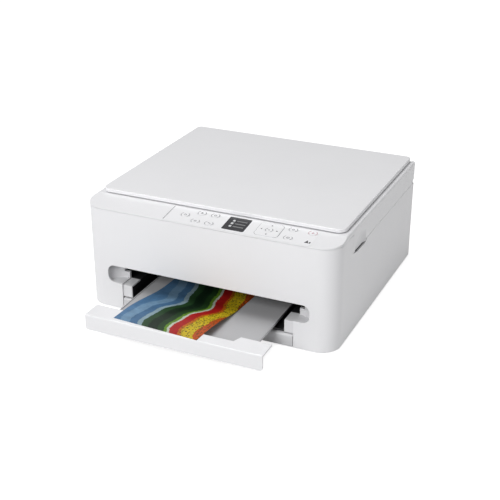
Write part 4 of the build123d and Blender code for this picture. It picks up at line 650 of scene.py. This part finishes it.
PAD_WIDTH, PAD_HEIGHT, PAD_CORNER = 33.6, 31.0, 5.2
CORNER_STEPS = 8
pad_left, pad_right = pad_x - PAD_WIDTH / 2, pad_x + PAD_WIDTH / 2
pad_low, pad_high = pad_up - PAD_HEIGHT / 2, pad_up + PAD_HEIGHT / 2
inner_low, inner_high = pad_low + PAD_CORNER, pad_high - PAD_CORNER
side_lines = []
for x, inner_x, corner_starts in (
    (pad_left, pad_left + PAD_CORNER, (180, 90)),
    (pad_right, pad_right - PAD_CORNER, (270, 0)),
):
    side_lines.append(stroke((x, inner_low), (x, inner_high), FINE_LINE))
    for inner_up, start in zip((inner_low, inner_high), corner_starts):
        side_lines.append(
            arc_band(inner_x, inner_up, PAD_CORNER, PAD_CORNER, FINE_LINE, start, start + 90, CORNER_STEPS)
        )
strip_marks("pad_side_lines", "scanner", side_lines, MARK, EDGE_LIFT)
faint_lines = [
    stroke((pad_left + PAD_CORNER, level), (pad_right - PAD_CORNER, level), FINE_LINE)
    for level in (pad_low, pad_high)
]
strip_marks("pad_faint_lines", "scanner", faint_lines, FAINT_MARK, EDGE_LIFT)

# Line down the film's left edge, and the alarm mark near its right end
FILM_LINE, FILM_LINE_INSET = 0.75, 0.4
FILM_LINE_LOW, FILM_LINE_HIGH = 2.9, 39.6
line_x = film_low.x / MM + FILM_LINE_INSET
film_line = [stroke((line_x, FILM_LINE_LOW), (line_x, FILM_LINE_HIGH), FILM_LINE)]
strip_marks("film_side_line", "scanner", film_line, MARK, EDGE_LIFT)
ALARM_X, ALARM_UP = 142.0, 11.3
alarm = [
    turned([(-3.0, -2.8), (3.0, -2.8), (0.0, 3.8)], ALARM_X, ALARM_UP),
    box_outline(ALARM_X + 4.2, ALARM_UP - 0.9, 2.2, 3.8),
]
strip_marks("alarm_mark", "scanner", alarm, DARK_MARK, -SINK)

# Display: squares on the left, lines of grey on the right
SCREEN_ROWS = (7.5, 0.5, -6.5)
ICON_SHIFT, ICON_SIZE = -7.0, (3.4, 4.2)
ROW_SHIFT, ROW_SIZE = 4.5, (15.0, 2.2)
PIXEL_THICKNESS = 0.05
screen_x, screen_up = middle_of("display_window")
icons = [rounded_outline(screen_x + ICON_SHIFT, screen_up + row, *ICON_SIZE, 0.5) for row in SCREEN_ROWS]
rows = [box_outline(screen_x + ROW_SHIFT, screen_up + row, *ROW_SIZE) for row in SCREEN_ROWS]
plates("screen_icons", "scanner", icons, SCREEN_LIGHT, on_strip, -SINK, PIXEL_THICKNESS)
plates("screen_rows", "scanner", rows, SCREEN_GREY, on_strip, -SINK, PIXEL_THICKNESS)


# Faces and insides that other views and open poses show

UP, DOWN = (0, 0, 1), (0, 0, -1)
SCREW = [(2.7, 0.0), (2.7, 0.45), (2.2, 0.8), (1.0, 0.85), (0.8, 0.5)]
SMALL_SCREW = [(radius * 0.8, reach) for radius, reach in SCREW]
CAPACITOR = [(3.0, 0.0), (3.1, 0.6), (3.1, 6.8), (2.6, 7.4), (1.2, 7.3)]
INK_SPOT = [(3.0, 0.0), (3.0, 0.1)]


def screw_rows(side_x, front, depths, level):
    """Places of screws in a row on either side, at these depths behind a front edge."""
    return [(side * side_x, front + depth, level) for side in (-1, 1) for depth in depths]


# Underside: dark slabs that paint the shade of the vents, a blank rating label and screws; depths are behind the
# pan's front edge
VENT_REACH, VENT_PITCH = 60, 8
VENT_HALF, VENT_NEAR, VENT_FAR, VENT_PROUD = 1.1, 250, 292, 0.35
LABEL_HALF, LABEL_NEAR, LABEL_FAR, LABEL_PROUD = 52, 150, 205, 0.25
PAN_SCREW_SIDE, PAN_SCREW_DEPTHS = 150, (60, 172, 285)
pan_low = extent("base_pan")[0]
pan_front, under = pan_low.y, pan_low.z
vent_shade_slabs = []
for x in range(-VENT_REACH, VENT_REACH + 1, VENT_PITCH):
    vent_shade_slabs.append((
        (x - VENT_HALF, pan_front + VENT_NEAR, under - VENT_PROUD),
        (x + VENT_HALF, pan_front + VENT_FAR, under - SINK),
    ))
# Near-black slabs where the vents are: painted shade of the openings
solids("underside_vent_shade", "case", vent_shade_slabs, DARK_PRINT_AND_VENT_SHADE, 0.12)
rating = [(
    (-LABEL_HALF, pan_front + LABEL_NEAR, under - LABEL_PROUD),
    (LABEL_HALF, pan_front + LABEL_FAR, under - SINK),
)]
solids("rating_label", "case", rating, LABEL, 0.08)
pan_screws = screw_rows(PAN_SCREW_SIDE, pan_front, PAN_SCREW_DEPTHS, under)
lathe("pan_screws", "case", pan_screws, SCREW, DOWN, STEEL_DARK)

# Cartridges: blank labels, with a patch on the black one and three dots of ink on the colour one
STICKER_HALF, STICKER_NEAR, STICKER_FAR, STICKER_THICKNESS = 13, 26, 5, 0.2
PATCH_LEFT, PATCH_RIGHT, PATCH_NEAR, PATCH_FAR, PATCH_THICKNESS = 10, 2, 23, 8, 0.1
SPOT_PITCH, SPOT_BACK = 8, 15.5


def cartridge_label(name):
    """Blank label on a cartridge; gives its middle, the cartridge's rear end and the label's face."""
    low_corner, high_corner = extent(name)
    middle_x, rear, top = (low_corner.x + high_corner.x) / 2, high_corner.y, high_corner.z
    face = top + STICKER_THICKNESS
    sticker = [(
        (middle_x - STICKER_HALF, rear - STICKER_NEAR, top),
        (middle_x + STICKER_HALF, rear - STICKER_FAR, face),
    )]
    solids(f"{name}_label", "carriage", sticker, LABEL, 0.06)
    return middle_x, rear, face


middle_x, rear, face = cartridge_label("ink_cartridge_black")
patch = [(
    (middle_x - PATCH_LEFT, rear - PATCH_NEAR, face),
    (middle_x - PATCH_RIGHT, rear - PATCH_FAR, face + PATCH_THICKNESS),
)]
solids("black_ink_patch", "carriage", patch, DARK_PRINT_AND_VENT_SHADE, 0.04)
middle_x, rear, face = cartridge_label("ink_cartridge_colour")
for step, ink, rgb in (
    (-1, "cyan", (0, 150, 200)),
    (0, "magenta", (200, 30, 110)),
    (1, "yellow", (240, 205, 30)),
):
    finish = moulded(
        f"{ink}_ink", linear(*rgb), 0.35, grain=0.8, depth=0.003, edge=0.05, drift=0.03, patch=4.0
    )
    spot = [(middle_x + SPOT_PITCH * step, rear - SPOT_BACK, face)]
    lathe(f"{ink}_ink_spot", "carriage", spot, INK_SPOT, UP, finish)

# Main board: capacitors and connectors
CAPACITORS, CAPACITOR_PITCH, CAPACITOR_SIDE, CAPACITOR_BACK = 4, 9, 8, 84
PLUGS, PLUG_PITCH, PLUG_SIDE, PLUG_LENGTH = 3, 14, 3, 10
PLUG_NEAR, PLUG_FAR, PLUG_HEIGHT = 66, 71.5, 5.5
board_low = extent("main_board")[0]
board_top = board_low.z + BOARD_RISE
can_y = board_low.y + CAPACITOR_BACK
cans = [(board_low.x + CAPACITOR_SIDE + CAPACITOR_PITCH * i, can_y, board_top) for i in range(CAPACITORS)]
lathe("board_capacitors", "case", cans, CAPACITOR, UP, SLEEVE)
plugs = []
for i in range(PLUGS):
    left = board_low.x + PLUG_SIDE + PLUG_PITCH * i
    plugs.append((
        (left, board_low.y + PLUG_NEAR, board_top),
        (left + PLUG_LENGTH, board_low.y + PLUG_FAR, board_top + PLUG_HEIGHT),
    ))
solids("board_connectors", "case", plugs, CONNECTOR, 0.3)

# Inner cover, seen with the scanner unit raised: screws, ribs and a blank label
COVER_SCREWS = ((170, 90), (170, 180), (150, 310), (60, 318))
RIBS, RIB_PITCH, RIB_WIDTH, RIB_PROUD = 11, 26, 1.6, 0.6
RIB_START, RIB_NEAR, RIB_FAR = -130, 30, 112
NOTICE_LEFT, NOTICE_RIGHT, NOTICE_NEAR, NOTICE_FAR, NOTICE_THICKNESS = 96, 150, 262, 296, 0.15
cover_low, cover_high = extent("inner_cover")
cover_front, cover_top = cover_low.y, cover_high.z
cover_screws = [(side * x, cover_front + depth, cover_top) for side in (-1, 1) for x, depth in COVER_SCREWS]
lathe("cover_screws", "case", cover_screws, SCREW, UP, STEEL_DARK)
cover_ribs = []
for i in range(RIBS):
    left = RIB_START + RIB_PITCH * i
    cover_ribs.append((
        (left, cover_front + RIB_NEAR, cover_top - SINK),
        (left + RIB_WIDTH, cover_front + RIB_FAR, cover_top + RIB_PROUD),
    ))
solids("cover_ribs", "case", cover_ribs, FINISHES["black_plastic"], 0.15)
notice = [(
    (NOTICE_LEFT, cover_front + NOTICE_NEAR, cover_top),
    (NOTICE_RIGHT, cover_front + NOTICE_FAR, cover_top + NOTICE_THICKNESS),
)]
solids("cover_label", "case", notice, LABEL, 0.05)

# Scanner base from below: ribs to the rear, rows of ribs across them, and screws
BASE_RIB_DEPTH = 0.5
BASE_RIB_PITCH, BASE_RIB_SIDE, BASE_RIB_NEAR, BASE_RIB_FAR = 30, 24, 40, 30
BASE_ROWS, BASE_ROW_PITCH, BASE_ROW_SIDE, BASE_ROW_NEAR = 4, 60, 12, 60
BASE_SCREW_SIDE, BASE_SCREW_DEPTHS = 172, (70, 170, 270)
base_low, base_high = extent("scanner_base")
rib_low, rib_high = base_low.z - BASE_RIB_DEPTH, base_low.z + SINK
base_ribs = []
for i in range(RIBS):
    left = base_low.x + BASE_RIB_SIDE + BASE_RIB_PITCH * i
    base_ribs.append((
        (left, base_low.y + BASE_RIB_NEAR, rib_low),
        (left + RIB_WIDTH, base_high.y - BASE_RIB_FAR, rib_high),
    ))
for i in range(BASE_ROWS):
    near = base_low.y + BASE_ROW_NEAR + BASE_ROW_PITCH * i
    base_ribs.append((
        (base_low.x + BASE_ROW_SIDE, near, rib_low),
        (base_high.x - BASE_ROW_SIDE, near + RIB_WIDTH, rib_high),
    ))
solids("base_ribs", "scanner", base_ribs, FINISHES["black_plastic"], 0.0)
base_screws = screw_rows(BASE_SCREW_SIDE, base_low.y, BASE_SCREW_DEPTHS, base_low.z)
lathe("base_screws", "scanner", base_screws, SMALL_SCREW, DOWN, STEEL_DARK)

# Scale marks and corner arrow beside the scan glass
GLASS_LEDGE = 2.0
SIDE_TICKS, FRONT_TICKS = 22, 30
TICK_PITCH, TICK_LINE, TICK_START = 10, 0.35, 4
CORNER_OUT = 5.0
DECK_MARK = 0.05
glass_low = extent("scan_glass")[0]
deck_top = extent("scanner_frame")[1].z
window_left, window_front = glass_low.x + GLASS_LEDGE, glass_low.y + GLASS_LEDGE


def on_deck(x, y, lift):
    """Point over the flat deck."""
    return Vector((x, y, deck_top + lift)) * MM


def tick(step):
    """Length of a scale's tick and the distance of its middle from the glass; each fifth is longer."""
    return (2.0, 2.6) if step % 5 else (3.6, 3.4)


ticks = []
for step in range(SIDE_TICKS):
    length, away = tick(step)
    along = window_front + TICK_PITCH * step + TICK_START
    ticks.append(box_outline(window_left - away, along, length, TICK_LINE))
for step in range(FRONT_TICKS):
    length, away = tick(step)
    along = window_left + TICK_PITCH * step + TICK_START
    ticks.append(box_outline(along, window_front - away, TICK_LINE, length))
plates("glass_scale", "scanner", ticks, MARK, on_deck, 0.0, DECK_MARK)
CORNER_ARROW = [(-2.2, -1.6), (2.2, -1.6), (0.0, 2.6)]
corner = [turned(CORNER_ARROW, window_left - CORNER_OUT, window_front - CORNER_OUT, -45)]
plates("glass_corner_arrow", "scanner", corner, DARK_MARK, on_deck, 0.0, DECK_MARK)

# Scan bar: lamp strip and lens row
STRIP_MARGIN, STRIP_THICKNESS = 4, 0.15
bar_low, bar_high = extent("scan_bar")
bar_middle = (bar_low.x + bar_high.x) / 2
for name, material, left, right in (
    ("scan_lamp_strip", CONNECTOR, -5.5, -2.5),
    ("scan_lens_strip", SLEEVE, -0.8, 1.6),
):
    light_strip = [(
        (bar_middle + left, bar_low.y + STRIP_MARGIN, bar_high.z),
        (bar_middle + right, bar_high.y - STRIP_MARGIN, bar_high.z + STRIP_THICKNESS),
    )]
    solids(name, "scan_bar", light_strip, material, 0.05)

# Belt teeth along the inside of both straight runs
BELT_THICKNESS = 1.2
TEETH_EACH_WAY = 70
TOOTH_PITCH, TOOTH_WIDTH, TOOTH_HEIGHT, TOOTH_MARGIN = 2.0, 0.9, 0.2, 0.3
belt_low, belt_high = extent("carriage_belt")
lower_run = belt_low.z + BELT_THICKNESS
upper_run = belt_high.z - BELT_THICKNESS
teeth = []
for i in range(-TEETH_EACH_WAY, TEETH_EACH_WAY + 1):
    left = i * TOOTH_PITCH - TOOTH_WIDTH / 2
    for low_z, high_z in ((lower_run, lower_run + TOOTH_HEIGHT), (upper_run - TOOTH_HEIGHT, upper_run)):
        teeth.append((
            (left, belt_low.y + TOOTH_MARGIN, low_z),
            (left + TOOTH_WIDTH, belt_high.y - TOOTH_MARGIN, high_z),
        ))
solids("belt_teeth", "case", teeth, FINISHES["rubber"], 0.0)

# Cassette: ticks for the paper sizes on its floor
CASSETTE_FLOOR = 1.6
PAPER_HALVES = (52, 64, 75, 91, 99)
SIZE_TICK_DEPTH, SIZE_TICK = 60, (0.6, 7.0)
cassette_low = extent("cassette")[0]


def on_floor(x, y, lift):
    """Point over the cassette's floor."""
    return Vector((x, y, cassette_low.z + CASSETTE_FLOOR + lift)) * MM


tick_y = cassette_low.y + SIZE_TICK_DEPTH
size_ticks = [box_outline(side * x, tick_y, *SIZE_TICK) for side in (-1, 1) for x in PAPER_HALVES]
plates("paper_size_ticks", "cassette", size_ticks, LABEL, on_floor, 0.0, MARK_THICKNESS)


# Floor, light and camera

FLOOR_HALF = 4.0
FLOOR_BACK = 1.0
FLOOR_GLOW = 0.75
bpy.ops.mesh.primitive_plane_add(size=2 * FLOOR_HALF, location=(0, FLOOR_BACK, 0))
floor = bpy.context.object
floor.name = "floor"


def floor_material():
    """Pale floor that the camera sees as white, still darker where the object shades it."""
    material = bpy.data.materials.new("floor")
    material.use_nodes = True
    tree = material.node_tree
    tree.nodes.clear()
    plain = node(tree, "ShaderNodeBsdfDiffuse", {"Color": linear(208, 208, 208)})
    glow = node(tree, "ShaderNodeEmission", {"Color": (1, 1, 1, 1), "Strength": FLOOR_GLOW})
    both = node(tree, "ShaderNodeAddShader")
    tree.links.new(plain.outputs[0], both.inputs[0])
    tree.links.new(glow.outputs[0], both.inputs[1])
    path = node(tree, "ShaderNodeLightPath")
    seen = math_node(tree, "MAXIMUM", path.outputs["Is Camera Ray"], path.outputs["Is Glossy Ray"])
    seen = math_node(tree, "MAXIMUM", seen, path.outputs["Is Transmission Ray"])
    mix = node(tree, "ShaderNodeMixShader")
    tree.links.new(seen, mix.inputs[0])
    tree.links.new(plain.outputs[0], mix.inputs[1])
    tree.links.new(both.outputs[0], mix.inputs[2])
    out = node(tree, "ShaderNodeOutputMaterial")
    tree.links.new(mix.outputs[0], out.inputs["Surface"])
    return material


floor.data.materials.append(floor_material())

# Sky: the camera sees plain white, and the object gets soft even light from all round
SKY_STRENGTH = 0.28
world = bpy.data.worlds.new("studio")
bpy.context.scene.world = world
world.use_nodes = True
sky = world.node_tree
sky.nodes.clear()
sky_path = node(sky, "ShaderNodeLightPath")
sky_light = node(sky, "ShaderNodeBackground", {"Color": (1, 1, 1, 1), "Strength": SKY_STRENGTH})
sky_white = node(sky, "ShaderNodeBackground", {"Color": (1, 1, 1, 1), "Strength": 1.0})
sky_mix = node(sky, "ShaderNodeMixShader")
sky_out = node(sky, "ShaderNodeOutputWorld")
sky.links.new(sky_path.outputs["Is Camera Ray"], sky_mix.inputs[0])
sky.links.new(sky_light.outputs[0], sky_mix.inputs[1])
sky.links.new(sky_white.outputs[0], sky_mix.inputs[2])
sky.links.new(sky_mix.outputs[0], sky_out.inputs["Surface"])


def soft_light(name, place, target, size, power):
    """Square soft lamp that faces a point."""
    lamp = bpy.data.lights.new(name, "AREA")
    lamp.shape = "SQUARE"
    lamp.size = size
    lamp.energy = power
    holder = bpy.data.objects.new(name, lamp)
    holder.location = place
    holder.rotation_euler = (Vector(target) - Vector(place)).to_track_quat("-Z", "Y").to_euler()
    bpy.context.scene.collection.objects.link(holder)


soft_light("key", (-0.6, -0.4, 3.1), (0, 0, 0.1), size=1.8, power=38.0)
soft_light("front_fill", (-0.3, -2.2, 1.4), (0, 0, 0.08), size=1.0, power=35.0)
soft_light("side_fill", (2.5, -0.3, 1.2), (0, 0, 0.08), size=1.2, power=9.0)

# Camera as it stood for the photograph, from the perspective fit
PHOTO_LENS = 73.77
SENSOR = 36.0
SHIFT_X, SHIFT_Y = 0.0069, 0.0025
EYE = (0.56487, -1.22750, 0.69843)
LOOK_DOWN, TURN = 25.15, 24.5
camera = bpy.data.cameras.new("camera")
camera.sensor_width = SENSOR
camera.lens = PHOTO_LENS
camera.shift_x = SHIFT_X
camera.shift_y = SHIFT_Y
camera_object = bpy.data.objects.new("camera", camera)
camera_object.location = EYE
camera_object.rotation_euler = (math.radians(90 - LOOK_DOWN), 0, math.radians(TURN))
bpy.context.scene.collection.objects.link(camera_object)
bpy.context.scene.camera = camera_object
bpy.context.scene.view_settings.view_transform = "Standard"
